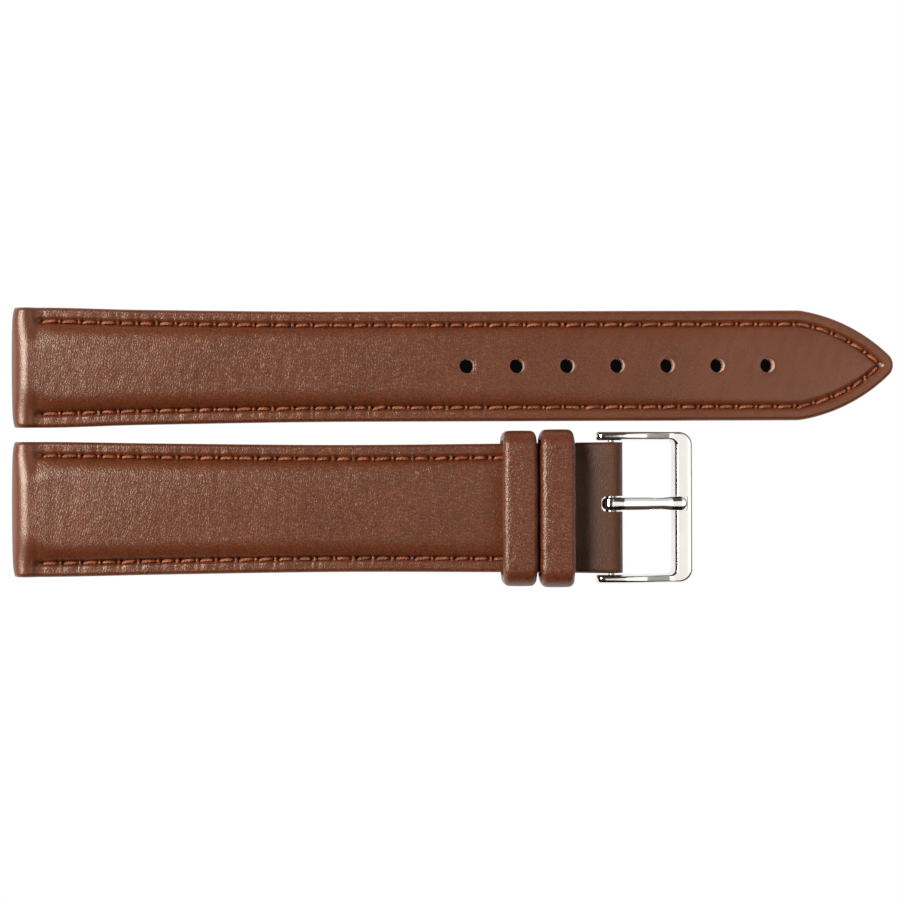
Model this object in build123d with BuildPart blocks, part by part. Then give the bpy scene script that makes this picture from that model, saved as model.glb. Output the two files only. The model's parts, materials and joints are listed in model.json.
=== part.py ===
from build123d import *
from dataclasses import dataclass
from math import acos, asin, cos, degrees, radians, sqrt
import os

# A two-piece leather watch strap with a pin buckle, laid out flat.
# X runs along the strap from the lug end to the tip, Y across it, Z up from the table.
# The origin is the middle of the whole layout, on the table. All sizes are in millimetres.

# Leather
upper_thickness = 0.7
lining_thickness = 0.7
core_thickness = 0.6
hem_width = 3.6
lining_inset = 0.4
edge_radius = 0.55
seam_gap = 0.05
overrun = 2.0

# Lug end, rolled round the watch's own spring bar
roll_radius = 1.9
roll_blend_radius = 0.8
lug_bore_radius = 1.0
lug_flange_height = 3.2
lug_crown_height = 1.2
lug_turn_back = 9.0
padding_start = 4.6

# Crown, the padded swelling between the two stitch lines
crown_shoulder = 2.2
crown_bow = 0.3
crown_root = 1.0
crown_side_margin = 0.15
crown_nose_radius = 2.5
crown_nose_setback = 0.1
padding_side_clearance = 0.5
padding_side_share = 0.3
wall_share = 0.01
middle_share = 0.5

# Stitching
stitch_inset = 1.85
stitch_start = 3.9
stitch_pitch = 2.56
stitch_length = 1.75
stitch_width = 0.45
stitch_height = 0.34
stitch_flat_share = 0.6
channel_width = 1.0
channel_depth = 0.22
channel_lead = 0.5
bobbin_height = 0.28
bobbin_channel_depth = 0.3

# Long half, with the adjusting holes
long_length = 117.8
long_lug_width = 16.0
long_waist_width = 14.7
long_lug_straight = 4.0
long_taper_middle = (17.0, 7.68)
long_taper_end = 46.0
long_tip_height = 2.1
long_tip_length = 13.05
long_shoulder_radius = 4.8
long_shoulder_turn = 10
long_tip_radius = 22.1
long_nose_radius = 1.9
long_crown_place_shares = (0.509, 0.679, 0.849)
long_crown_shares = (1, 0.99, 0.93, 0.66, 0.55, 0.34, 0.1, 0.07)
long_padding_setback = 18.8
hole_count = 7
hole_pitch = 6.7
first_hole_setback = 57.2
hole_radius = 0.975

# Short half, with the buckle
short_length = 81.35
short_lug_width = 18.0
short_lug_straight = 4.0
short_taper_middle_x = 20.0
short_taper_middle_share = 0.52
short_waist_x = 46.0
short_waist_narrowing = 0.24
short_neck_lead = 1.1
short_neck_narrowing = 0.14
short_end_height = 2.3
short_crown_shares = (1, 0.99, 0.93, 0.66, 0.46, 0.1)
short_crown_setback = 3.85
short_padding_setback = 4.05
short_stitch_setback = 0.55
flap_lead = 0.8
fold_radius = 1.5
fold_bore_clearance = 0.05
fold_blend_radius = 1.5
core_end_gap = 0.35

# Tongue slot in the fold
slot_side_clearance = 0.17
slot_end_clearance = 0.2
slot_corner_radius = 0.75
tongue_offset = 0.5

# Keepers
keeper_length = 4.6
keeper_wall = 1.2
keeper_lining_thickness = 0.45
keeper_edge = 0.5
keeper_corner_radius = 2.1
keeper_inner_corner_radius = 1.0
keeper_rounding = 0.5
keeper_inner_height = 5.4
keeper_gap = 0.35
free_keeper_side_clearance = 0.2
free_keeper_base = 0.8
free_keeper_clearance = 0.1
keeper_foot_radius = 0.9
fixed_keeper_setback = 9.8
fixed_keeper_side_clearance = 0.35
fixed_keeper_foot = 0.35
fixed_keeper_lip = 3.2

# Spring bar in the fold
bar_radius = 0.75
bar_end_clearance = 0.5
bar_wall = 0.15
bar_crimp_length = 0.5
bar_crimp_clearance = 0.04
plunger_head_clearance = 0.05
plunger_head_length = 1.0
plunger_tip_radius = 0.42
plunger_tip_chamfer = 0.1
plunger_end_gap = 0.05
plunger_seat_gap = 0.02
spring_wire = 0.16
spring_side_clearance = 0.1
spring_turns = 10
spring_wire_sides = 4

# Buckle frame
frame_inner_width = 17.9
arm_width = 1.15
arm_height = 2.4
arm_tail = 1.0
frame_reach = 11.05
frame_side_clearance = 0.25
front_bar_width = 3.15
front_bar_height = 2.1
front_bevel_width = 1.05
front_bevel_height = 0.8
front_bevel_end_radius = 1.75
frame_outer_corner_radius = 1.7
frame_inner_corner_radius = 0.7
frame_rounding = 0.4
arm_hole_clearance = 0.08
arm_hole_depth = 0.8
arm_shoulder = 1.0
arm_foot_radius = 1.5
notch_depth = 0.25
notch_clearance = 0.12

# Buckle tongue
tongue_width = 1.76
tongue_thickness = 0.9
tongue_loop_wall = 0.45
tongue_bore_clearance = 0.05
tongue_tip_setback = 0.85
tongue_knee = 1.5
tongue_bend_radius = 4.0
tongue_tip_thickness = 0.78
tongue_seat_length = 2.1
tongue_seat_gap = 0.03
tongue_tip_flat = 0.16
tongue_rounding = 0.35
tongue_joint_radius = 0.2

# Layout of the two halves on the table
row_gap = 1.3

# Sizes that follow
core_top = lining_thickness + core_thickness
long_shoulder_x = long_length - long_tip_length
long_crown_stations = tuple(share * long_length for share in long_crown_place_shares)
long_padding_end = long_length - long_padding_setback
first_hole_x = long_length - first_hole_setback

# The short half, its keepers and its spring bar follow the buckle that they go through
bar_x = short_length - fold_radius
fixed_keeper_x = bar_x - fixed_keeper_setback
free_keeper_x = fixed_keeper_x - keeper_length - keeper_gap
flap_start = free_keeper_x - flap_lead
short_end_width = frame_inner_width - 2 * frame_side_clearance
short_neck = (free_keeper_x - short_neck_lead, short_end_width / 2 - short_neck_narrowing)
short_waist = (short_waist_x, short_end_width / 2 - short_waist_narrowing)
short_taper = short_lug_width / 2 - short_waist[1]
short_taper_middle = (short_taper_middle_x, short_waist[1] + short_taper_middle_share * short_taper)
short_crown_end = bar_x - short_crown_setback
short_padding_end = fixed_keeper_x - short_padding_setback
short_stitch_end = fixed_keeper_x - short_stitch_setback
free_keeper_inner_width = short_end_width + 2 * free_keeper_side_clearance
fixed_keeper_inner_width = short_end_width + 2 * fixed_keeper_side_clearance
bar_length = frame_inner_width - 2 * bar_end_clearance
bar_bore_radius = bar_radius - bar_wall
bar_crimp_radius = plunger_tip_radius + bar_crimp_clearance
plunger_head_radius = bar_bore_radius - plunger_head_clearance
spring_radius = bar_bore_radius - spring_side_clearance - spring_wire / 2
arm_hole_radius = plunger_tip_radius + arm_hole_clearance
fold_bore_radius = bar_radius + fold_bore_clearance
tongue_loop_radius = bar_radius + tongue_bore_clearance + tongue_loop_wall
tongue_reach = frame_reach - tongue_tip_setback
tongue_tip_radius = (tongue_width - tongue_tip_flat) / 2
slot_width = tongue_width + 2 * slot_side_clearance
slot_reach = tongue_loop_radius + slot_end_clearance

# Where the two halves lie on the table
keeper_lift = free_keeper_base + free_keeper_clearance
tilt = asin(keeper_lift / free_keeper_x)
fixed_keeper_half = fixed_keeper_inner_width / 2 + keeper_wall
row_spacing = long_waist_width / 2 + row_gap + fixed_keeper_half
layout_width = long_lug_width / 2 + row_spacing + fixed_keeper_half
long_y = layout_width / 2 - long_lug_width / 2
short_y = long_y - row_spacing
lug_x = -long_length / 2
crown_inset = stitch_inset + channel_width / 2

long_frame = Plane(origin=(lug_x, long_y, 0))
short_frame = Plane(
    origin=(lug_x, short_y, 0),
    x_dir=(cos(tilt), 0, keeper_lift / free_keeper_x),
    z_dir=(-keeper_lift / free_keeper_x, 0, cos(tilt)),
)


# Planes in a half's own frame
def side_view(frame):
    return Plane(origin=frame.origin, x_dir=frame.x_dir, z_dir=-frame.y_dir)


def cross_section(frame, station):
    origin = frame.from_local_coords(Vector(station, 0, 0))
    return Plane(origin=origin, x_dir=frame.y_dir, z_dir=frame.x_dir)


# One half of the strap: its frame, its outline and its heights along its length
@dataclass
class StrapHalf:
    frame: Plane
    length: float
    lug_width: float
    end_height: float
    side_points: tuple
    draw_side: object
    nose_radius: float
    crown_stations: tuple
    crown_shares: tuple
    crown_end: float

    def flange_height(self, station):
        return lug_flange_height + (self.end_height - lug_flange_height) * station / self.length

    def flange_plane(self, depth=0):
        slope = self.frame.x_dir * self.length
        slope += self.frame.z_dir * (self.end_height - lug_flange_height)
        origin = self.frame.from_local_coords(Vector(0, 0, lug_flange_height - depth))
        return Plane(origin=origin, x_dir=slope, z_dir=slope.cross(self.frame.y_dir))

    def underside(self, height=0):
        origin = self.frame.from_local_coords(Vector(0, 0, height))
        return Plane(origin=origin, x_dir=self.frame.x_dir, z_dir=-self.frame.z_dir)

    def half_width(self, station):
        before = [p for p in self.side_points if p[0] <= station]
        after = [p for p in self.side_points if p[0] >= station]
        if not after:
            return before[-1][1]
        if not before or before[-1] == after[0]:
            return after[0][1]
        share = (station - before[-1][0]) / (after[0][0] - before[-1][0])
        return before[-1][1] + share * (after[0][1] - before[-1][1])


# The long half's side: straight at the lug, a soft taper, then two arcs to the point
def draw_long_side(inset):
    lug_half = long_lug_width / 2 - inset
    waist_half = long_waist_width / 2 - inset
    middle = (long_taper_middle[0], long_taper_middle[1] - inset)
    Line((-overrun, lug_half), (long_lug_straight, lug_half))
    Spline(
        (long_lug_straight, lug_half),
        middle,
        (long_taper_end, waist_half),
        tangents=[(1, 0), (1, 0)],
    )
    Line((long_taper_end, waist_half), (long_shoulder_x, waist_half))
    shoulder = JernArc(
        (long_shoulder_x, waist_half), (1, 0), long_shoulder_radius - inset, -long_shoulder_turn
    )
    centre_y = long_waist_width / 2 - long_shoulder_radius
    centre_y -= (long_tip_radius - long_shoulder_radius) * cos(radians(long_shoulder_turn))
    tip_angle = degrees(acos(-centre_y / (long_tip_radius - inset)))
    JernArc(shoulder @ 1, shoulder % 1, long_tip_radius - inset, long_shoulder_turn - tip_angle)


# The short half's side: a soft waist, then a little wider again at the fold
def draw_short_side(inset):
    lug_half = short_lug_width / 2 - inset
    end_half = short_end_width / 2 - inset
    Line((-overrun, lug_half), (short_lug_straight, lug_half))
    Spline(
        (short_lug_straight, lug_half),
        (short_taper_middle[0], short_taper_middle[1] - inset),
        (short_waist[0], short_waist[1] - inset),
        (short_neck[0], short_neck[1] - inset),
        (bar_x, end_half),
        tangents=[(1, 0), (1, 0)],
    )
    Line((bar_x, end_half), (short_length + overrun, end_half))


long_half = StrapHalf(
    frame=long_frame,
    length=long_length,
    lug_width=long_lug_width,
    end_height=long_tip_height,
    side_points=(
        (long_lug_straight, long_lug_width / 2),
        long_taper_middle,
        (long_taper_end, long_waist_width / 2),
    ),
    draw_side=draw_long_side,
    nose_radius=long_nose_radius,
    crown_stations=long_crown_stations,
    crown_shares=long_crown_shares,
    crown_end=long_length,
)
short_half = StrapHalf(
    frame=short_frame,
    length=short_length,
    lug_width=short_lug_width,
    end_height=short_end_height,
    side_points=(
        (short_lug_straight, short_lug_width / 2),
        short_taper_middle,
        short_waist,
        short_neck,
        (bar_x, short_end_width / 2),
    ),
    draw_side=draw_short_side,
    nose_radius=0,
    crown_stations=(),
    crown_shares=short_crown_shares,
    crown_end=short_crown_end,
)


# The plan outline of a half, drawn in by inset, from one station to another
def outline(half, inset=0, start=0, end=None):
    with BuildSketch() as plan:
        with BuildLine() as rim:
            half.draw_side(inset)
            mirror(about=Plane.XZ)
            lug_half = half.lug_width / 2 - inset
            Line((-overrun, lug_half), (-overrun, -lug_half))
            if not half.nose_radius:
                end_half = half.side_points[-1][1] - inset
                Line((half.length + overrun, end_half), (half.length + overrun, -end_half))
        make_face()
        if half.nose_radius > inset:
            fillet(plan.vertices().sort_by(Axis.X)[-1], half.nose_radius - inset)
        if start:
            with Locations((start, 0)):
                Rectangle(
                    start + 2 * overrun,
                    2 * half.lug_width,
                    align=(Align.MAX, Align.CENTER),
                    mode=Mode.SUBTRACT,
                )
        if end:
            with Locations((end, 0)):
                Rectangle(
                    half.length,
                    2 * half.lug_width,
                    align=(Align.MIN, Align.CENTER),
                    mode=Mode.SUBTRACT,
                )
    return plan.sketch


# One cross section of the crown: a flat base, low sides and a bowed top
def crown_section(half_width, base, side_top, top):
    inner = half_width - crown_shoulder
    edge_top = top - crown_bow * (top - side_top) / lug_crown_height
    with BuildSketch() as section:
        with BuildLine():
            Polyline(
                (-half_width, side_top),
                (-half_width, base),
                (half_width, base),
                (half_width, side_top),
            )
            bow = ThreePointArc((-inner, edge_top), (0, top), (inner, edge_top))
            TangentArc(bow @ 1, (half_width, side_top), tangent=bow % 1)
            TangentArc(bow @ 0, (-half_width, side_top), tangent=(bow % 0) * -1)
        make_face()
    return section.sketch


# The crown along a half. The padding is the same form, drawn in by the leather over it
def build_crown(half, inset, leather=0, start=0, end=None):
    stations = {0, half.crown_end, *half.crown_stations, *(p[0] for p in half.side_points)}
    stations = sorted(station for station in stations if station <= half.crown_end)
    with BuildPart() as crown:
        for station, share in zip(stations, half.crown_shares):
            top = half.flange_height(station) + lug_crown_height * share - leather
            side_top = half.flange_height(station) - channel_depth
            base = side_top - crown_root
            if leather:
                base = core_top
                side_top = base + (top - base) * padding_side_share
            half_width = half.half_width(station) - inset + crown_side_margin
            with BuildSketch(cross_section(half.frame, station)):
                add(crown_section(half_width, base, side_top, top))
        loft()
        with BuildSketch(half.frame):
            add(outline(half, inset, start, end))
        extrude(amount=lug_flange_height + lug_crown_height + overrun, mode=Mode.INTERSECT)
    return crown.part


# The nose of the crown comes down in an arc over the rolled lug end
def nose_profile():
    bottom = roll_radius
    top = bottom + crown_nose_radius
    nose_x = crown_nose_radius + crown_nose_setback
    with BuildSketch() as profile:
        with BuildLine():
            Polyline(
                (crown_nose_setback, bottom),
                (-overrun, bottom),
                (-overrun, top + overrun),
                (nose_x, top + overrun),
                (nose_x, top),
            )
            JernArc((nose_x, top), (-1, 0), crown_nose_radius, 90)
        make_face()
    return profile.sketch


# A half's side view: the rolled end, the flange and what stands at the far end
def side_profile(half):
    far = half.length + overrun if half.nose_radius else bar_x
    with BuildSketch() as profile:
        Polygon(
            (roll_radius, 0),
            (far, 0),
            (far, half.flange_height(far)),
            (roll_radius, half.flange_height(roll_radius)),
            align=None,
        )
        with Locations((roll_radius, roll_radius)):
            Circle(roll_radius)
        dip_height = half.flange_height(2 * roll_radius) - roll_radius
        dip = Vector(roll_radius + sqrt(roll_radius**2 - dip_height**2), dip_height + roll_radius)
        fillet(profile.vertices().sort_by_distance(dip)[0], roll_blend_radius)
        if not half.nose_radius:
            with Locations((bar_x, fold_radius)):
                Circle(fold_radius)
            step = half.flange_height(bar_x) - fold_radius
            neck = Vector(bar_x - sqrt(fold_radius**2 - step**2), half.flange_height(bar_x))
            fillet(profile.vertices().sort_by_distance(neck)[0], fold_blend_radius)
    return profile.sketch


# The outer form of a half, before the layers are taken out of it
def build_envelope(half, channel_end=None):
    with BuildPart() as crown:
        add(build_crown(half, crown_inset, end=half.crown_end))
        with BuildSketch(side_view(half.frame)):
            add(nose_profile())
        extrude(amount=half.lug_width, both=True, mode=Mode.SUBTRACT)
    with BuildPart() as envelope:
        with BuildSketch(side_view(half.frame)):
            add(side_profile(half))
        extrude(amount=half.lug_width, both=True)
        with BuildSketch(half.frame):
            add(outline(half))
        extrude(amount=lug_flange_height + lug_crown_height, mode=Mode.INTERSECT)
        up = half.frame.z_dir
        walls = envelope.faces().filter_by(lambda f: abs(f.normal_at().dot(up)) < wall_share)
        walls = walls.filter_by(lambda f: abs(f.normal_at().dot(half.frame.x_dir)) < 1 - wall_share)
        rims = walls.edges().filter_by(
            lambda e: e.geom_type != GeomType.LINE or abs((e % middle_share).dot(up)) < 1 - wall_share
        )
        fillet(rims, edge_radius)
        add(crown.part)
        with BuildSketch(half.flange_plane(channel_depth)):
            add(outline(half, stitch_inset - channel_width / 2, stitch_start - channel_lead, channel_end))
            add(outline(half, crown_inset), mode=Mode.SUBTRACT)
        extrude(amount=overrun, mode=Mode.SUBTRACT)
    return envelope.part


# The shallow channel that a row of stitches lies in, cut into a given surface
def channel_cutter(half, floor, height, start, end):
    with BuildPart() as cutter:
        with BuildSketch(floor):
            add(outline(half, stitch_inset - channel_width / 2, start, end))
            add(outline(half, crown_inset), mode=Mode.SUBTRACT)
        extrude(amount=height)
    return cutter.part


# The padding under the crown, cut through by the adjusting holes
def build_padding(half, end, holes):
    with BuildPart() as padding:
        add(build_crown(half, crown_inset + padding_side_clearance, upper_thickness, padding_start, end))
        add(holes, mode=Mode.SUBTRACT)
    return padding.part


# A flat layer of a half, at a height above its underside
def build_layer(half, height, thickness, inset, start, end, holes):
    with BuildPart() as layer:
        with BuildSketch(half.frame.offset(height)):
            add(outline(half, inset, start, end))
        extrude(amount=thickness)
        add(holes, mode=Mode.SUBTRACT)
    return layer.part


# The upper: the outer form without the layers inside and under it, and without the lug bore
def build_upper(half, envelope, layers, lining_end, openings):
    with BuildPart() as upper:
        add(envelope)
        with BuildSketch(side_view(half.frame)):
            with Locations((lug_turn_back, lining_thickness)):
                Rectangle(
                    lining_end - lug_turn_back,
                    2 * lining_thickness,
                    align=(Align.MIN, Align.MAX),
                )
        extrude(amount=half.lug_width, both=True, mode=Mode.SUBTRACT)
        with BuildSketch(side_view(half.frame)):
            with Locations((roll_radius, roll_radius)):
                Circle(lug_bore_radius)
        extrude(amount=half.lug_width, both=True, mode=Mode.SUBTRACT)
        add(layers, mode=Mode.SUBTRACT)
        add(openings, mode=Mode.SUBTRACT)
    return upper.part


# The row of stitches down both sides of a half, lying on a channel's floor
def build_stitches(half, floor, height, end_length):
    with BuildLine() as side:
        half.draw_side(stitch_inset)
    row = Wire(side.edges().sort_by(Axis.X))
    first = overrun + stitch_start
    last = min(row.length, overrun + end_length)
    count = int((last - first) / stitch_pitch)
    pitch = (last - first) / count
    planes = []
    for index in range(count):
        distance = first + index * pitch + pitch / 2
        place = row.position_at(distance, position_mode=PositionMode.LENGTH)
        along = row.tangent_at(distance, position_mode=PositionMode.LENGTH)
        for hand in (1, -1):
            origin = floor.from_local_coords(Vector(place.X, hand * place.Y))
            direction = floor.x_dir * along.X + floor.y_dir * (hand * along.Y)
            planes.append(Plane(origin=origin, x_dir=direction, z_dir=direction.cross(floor.z_dir)))
    flat = stitch_length * stitch_flat_share
    with BuildPart() as stitches:
        with BuildSketch(*planes):
            with BuildLine():
                Polyline(
                    (-stitch_length / 2, 0),
                    (-flat / 2, height),
                    (flat / 2, height),
                    (stitch_length / 2, 0),
                    close=True,
                )
            make_face()
        extrude(amount=stitch_width / 2, both=True)
    return stitches.part


# Round holes through the long half for the tongue
with BuildPart() as adjusting_holes:
    with BuildSketch(long_frame):
        with Locations((first_hole_x, 0)):
            with GridLocations(hole_pitch, 0, hole_count, 1, align=(Align.MIN, Align.CENTER)):
                Circle(hole_radius)
    extrude(amount=lug_flange_height + lug_crown_height)

# The long half, layer by layer
long_channel_start = stitch_start - channel_lead
long_bobbin_channel = channel_cutter(
    long_half, long_frame, bobbin_channel_depth, long_channel_start, None
)
long_padding = build_padding(long_half, long_padding_end, adjusting_holes.part)
long_reinforcement = build_layer(
    long_half, lining_thickness, core_thickness, hem_width, padding_start, None, adjusting_holes.part
)
long_lining = build_layer(
    long_half,
    0,
    lining_thickness,
    lining_inset,
    lug_turn_back + seam_gap,
    None,
    [adjusting_holes.part, long_bobbin_channel],
)
long_upper = build_upper(
    long_half,
    build_envelope(long_half),
    [long_padding, long_reinforcement],
    long_length + overrun,
    [adjusting_holes.part, long_bobbin_channel],
)
long_needle_stitches = build_stitches(
    long_half, long_half.flange_plane(channel_depth), stitch_height, long_length
)
long_bobbin_stitches = build_stitches(
    long_half, long_half.underside(bobbin_channel_depth), bobbin_height, long_length
)

# The slot in the fold that the tongue swings in
with BuildPart() as tongue_slot:
    with BuildSketch(short_frame.offset(-overrun)) as slot_plan:
        with Locations((bar_x - slot_reach, tongue_offset)):
            Rectangle(slot_reach + 2 * fold_radius, slot_width, align=(Align.MIN, Align.CENTER))
        fillet(slot_plan.vertices().group_by(Axis.X)[0], slot_corner_radius)
    extrude(amount=fold_radius * 2 + 2 * overrun)

with BuildPart() as bar_bore:
    with BuildSketch(side_view(short_frame)):
        with Locations((bar_x, fold_radius)):
            Circle(fold_bore_radius)
    extrude(amount=short_lug_width, both=True)


# A keeper's outer or inner outline, seen along the strap: its half width, its lowest and
# highest edge, and the radii of its lower and upper corners
def keeper_outline(half_width, low, high, corner_low, corner_high):
    with BuildSketch() as rim:
        with Locations((0, low)):
            Rectangle(half_width * 2, high - low, align=(Align.CENTER, Align.MIN))
        if corner_low:
            fillet(rim.vertices().group_by(Axis.Y)[0], corner_low)
        fillet(rim.vertices().group_by(Axis.Y)[-1], corner_high)
    return rim.sketch


# The faces of a keeper that look along the strap
def end_faces(keeper):
    along = short_frame.x_dir
    return keeper.faces().filter_by(lambda f: abs(f.normal_at().dot(along)) > 1 - wall_share)


# Free keeper: a closed loop of leather round the strap, with its lining let into it
free_half = free_keeper_inner_width / 2
free_low = -free_keeper_clearance
free_high = free_low + keeper_inner_height
with BuildPart() as free_keeper_lining:
    with BuildSketch(cross_section(short_frame, free_keeper_x + keeper_edge)):
        add(
            keeper_outline(
                free_half + keeper_lining_thickness,
                free_low - keeper_lining_thickness,
                free_high + keeper_lining_thickness,
                keeper_inner_corner_radius,
                keeper_inner_corner_radius,
            )
        )
        add(
            keeper_outline(
                free_half, free_low, free_high, keeper_inner_corner_radius, keeper_inner_corner_radius
            ),
            mode=Mode.SUBTRACT,
        )
    extrude(amount=keeper_length - 2 * keeper_edge)

with BuildPart() as free_keeper_cover:
    with BuildSketch(cross_section(short_frame, free_keeper_x)):
        add(
            keeper_outline(
                free_half + keeper_wall,
                free_low - free_keeper_base,
                free_high + keeper_wall,
                keeper_foot_radius,
                keeper_corner_radius,
            )
        )
    extrude(amount=keeper_length)
    fillet(end_faces(free_keeper_cover).edges(), keeper_rounding)
    with BuildSketch(cross_section(short_frame, free_keeper_x - overrun)):
        add(
            keeper_outline(
                free_half, free_low, free_high, keeper_inner_corner_radius, keeper_inner_corner_radius
            )
        )
    extrude(amount=keeper_length + 2 * overrun, mode=Mode.SUBTRACT)
    add(free_keeper_lining.part, mode=Mode.SUBTRACT)

# Fixed keeper: a band over the strap whose two ends are tucked in over the flap
fixed_half = fixed_keeper_inner_width / 2
fixed_high = free_high
lip_inner = short_end_width / 2 - fixed_keeper_lip
with BuildPart() as fixed_keeper_lining:
    with BuildSketch(cross_section(short_frame, fixed_keeper_x + keeper_edge)):
        add(
            keeper_outline(
                fixed_half + keeper_lining_thickness,
                core_top,
                fixed_high + keeper_lining_thickness,
                0,
                keeper_inner_corner_radius,
            )
        )
        add(
            keeper_outline(fixed_half, core_top, fixed_high, 0, keeper_inner_corner_radius),
            mode=Mode.SUBTRACT,
        )
    extrude(amount=keeper_length - 2 * keeper_edge)

# The fixed keeper's two tucked ends, in the core's layer
with BuildPart() as keeper_lips:
    with BuildSketch(cross_section(short_frame, fixed_keeper_x)):
        with Locations((0, lining_thickness)):
            Rectangle(2 * fixed_half, core_thickness, align=(Align.CENTER, Align.MIN))
            Rectangle(2 * lip_inner, core_thickness, align=(Align.CENTER, Align.MIN), mode=Mode.SUBTRACT)
    extrude(amount=keeper_length)

with BuildPart() as fixed_keeper_cover:
    with BuildSketch(cross_section(short_frame, fixed_keeper_x)):
        add(
            keeper_outline(
                fixed_half + keeper_wall,
                fixed_keeper_foot,
                fixed_high + keeper_wall,
                keeper_foot_radius,
                keeper_corner_radius,
            )
        )
    extrude(amount=keeper_length)
    fillet(end_faces(fixed_keeper_cover).edges(), keeper_rounding)
    with BuildSketch(cross_section(short_frame, fixed_keeper_x - overrun)):
        add(keeper_outline(fixed_half, -overrun, fixed_high, 0, keeper_inner_corner_radius))
    extrude(amount=keeper_length + 2 * overrun, mode=Mode.SUBTRACT)
    add(fixed_keeper_lining.part, mode=Mode.SUBTRACT)
    add(keeper_lips.part)

# The short half, layer by layer
short_channel_start = stitch_start - channel_lead
short_bobbin_channel = channel_cutter(
    short_half, short_frame, bobbin_channel_depth, short_channel_start, short_stitch_end
)
short_padding = build_padding(short_half, short_padding_end, [])
short_reinforcement = build_layer(
    short_half,
    lining_thickness,
    core_thickness,
    hem_width,
    padding_start,
    bar_x - slot_reach - core_end_gap,
    [],
)
short_lining = build_layer(
    short_half,
    0,
    lining_thickness,
    lining_inset,
    lug_turn_back + seam_gap,
    flap_start - seam_gap,
    short_bobbin_channel,
)
short_upper = build_upper(
    short_half,
    build_envelope(short_half, short_stitch_end),
    [short_padding, short_reinforcement],
    flap_start,
    [short_bobbin_channel, keeper_lips.part, bar_bore.part, tongue_slot.part],
)
short_needle_stitches = build_stitches(
    short_half, short_half.flange_plane(channel_depth), stitch_height, short_stitch_end - channel_lead
)
short_bobbin_stitches = build_stitches(
    short_half, short_half.underside(bobbin_channel_depth), bobbin_height, short_stitch_end - channel_lead
)

# The spring bar lies across the strap in the fold. Its axis is the buckle's hinge
pivot = short_frame.from_local_coords(Vector(bar_x, 0, fold_radius))
arm_inner = frame_inner_width / 2


def across_plane(distance, hand=1):
    return Plane(origin=pivot + Vector(0, hand * distance, 0), x_dir=(1, 0, 0), z_dir=(0, hand, 0))


with BuildPart() as spring_bar_tube:
    with BuildSketch(across_plane(0)):
        Circle(bar_radius)
    extrude(amount=bar_length / 2, both=True)
    with BuildSketch(across_plane(0)):
        Circle(bar_bore_radius)
    extrude(amount=bar_length / 2 - bar_crimp_length, both=True, mode=Mode.SUBTRACT)
    with BuildSketch(across_plane(0)):
        Circle(bar_crimp_radius)
    extrude(amount=bar_length / 2, both=True, mode=Mode.SUBTRACT)

head_end = bar_length / 2 - bar_crimp_length - plunger_seat_gap
head_start = head_end - plunger_head_length


# A plunger: a head that the crimp holds back, and the tip that stands out into the arm
def build_plunger(hand):
    tip_end = arm_inner + arm_hole_depth - plunger_end_gap
    with BuildPart() as plunger:
        with BuildSketch(across_plane(head_start, hand)):
            Circle(plunger_head_radius)
        extrude(amount=plunger_head_length)
        with BuildSketch(across_plane(head_end, hand)):
            Circle(plunger_tip_radius)
        extrude(amount=tip_end - head_end)
        chamfer(plunger.faces().sort_by(Axis.Y)[-1 if hand > 0 else 0].edges(), plunger_tip_chamfer)
    return plunger.part


spring_bar_plunger_left = build_plunger(1)
spring_bar_plunger_right = build_plunger(-1)

spring_length = 2 * (head_start - plunger_seat_gap) - spring_wire
with BuildPart() as spring_bar_spring:
    with BuildLine() as coil:
        Helix(
            pitch=spring_length / spring_turns,
            height=spring_length,
            radius=spring_radius,
            center=pivot - Vector(0, spring_length / 2, 0),
            direction=(0, 1, 0),
        )
    with BuildSketch(Plane(origin=coil.line @ 0, z_dir=coil.line % 0)):
        RegularPolygon(spring_wire / 2, spring_wire_sides)
    sweep(path=coil.line, is_frenet=True)

# Buckle frame: two arched arms with round tails and a broad front bar
front_top = front_bar_height - pivot.Z
front_x = frame_reach - front_bar_width
bevel_x = front_x + front_bevel_width
buckle_side = Plane(origin=pivot, x_dir=(1, 0, 0), z_dir=(0, -1, 0))
buckle_plan = Plane(origin=pivot)

# The bevel along the inside of the front bar, which runs out in a curve at each arm
with BuildPart() as front_bevel:
    with BuildSketch(buckle_side):
        with BuildLine():
            Polyline(
                (front_x, front_top - front_bevel_height),
                (bevel_x, front_top),
                (bevel_x, front_top + overrun),
                (front_x - overrun, front_top + overrun),
                (front_x - overrun, front_top - front_bevel_height),
                close=True,
            )
        make_face()
    extrude(amount=arm_inner, both=True)
    with BuildSketch(buckle_plan) as bevel_plan:
        with Locations((bevel_x, 0)):
            Rectangle(frame_reach, frame_inner_width, align=(Align.MAX, Align.CENTER))
        fillet(bevel_plan.vertices().group_by(Axis.X)[-1], front_bevel_end_radius)
    extrude(amount=front_bar_height + overrun, both=True, mode=Mode.INTERSECT)

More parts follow.
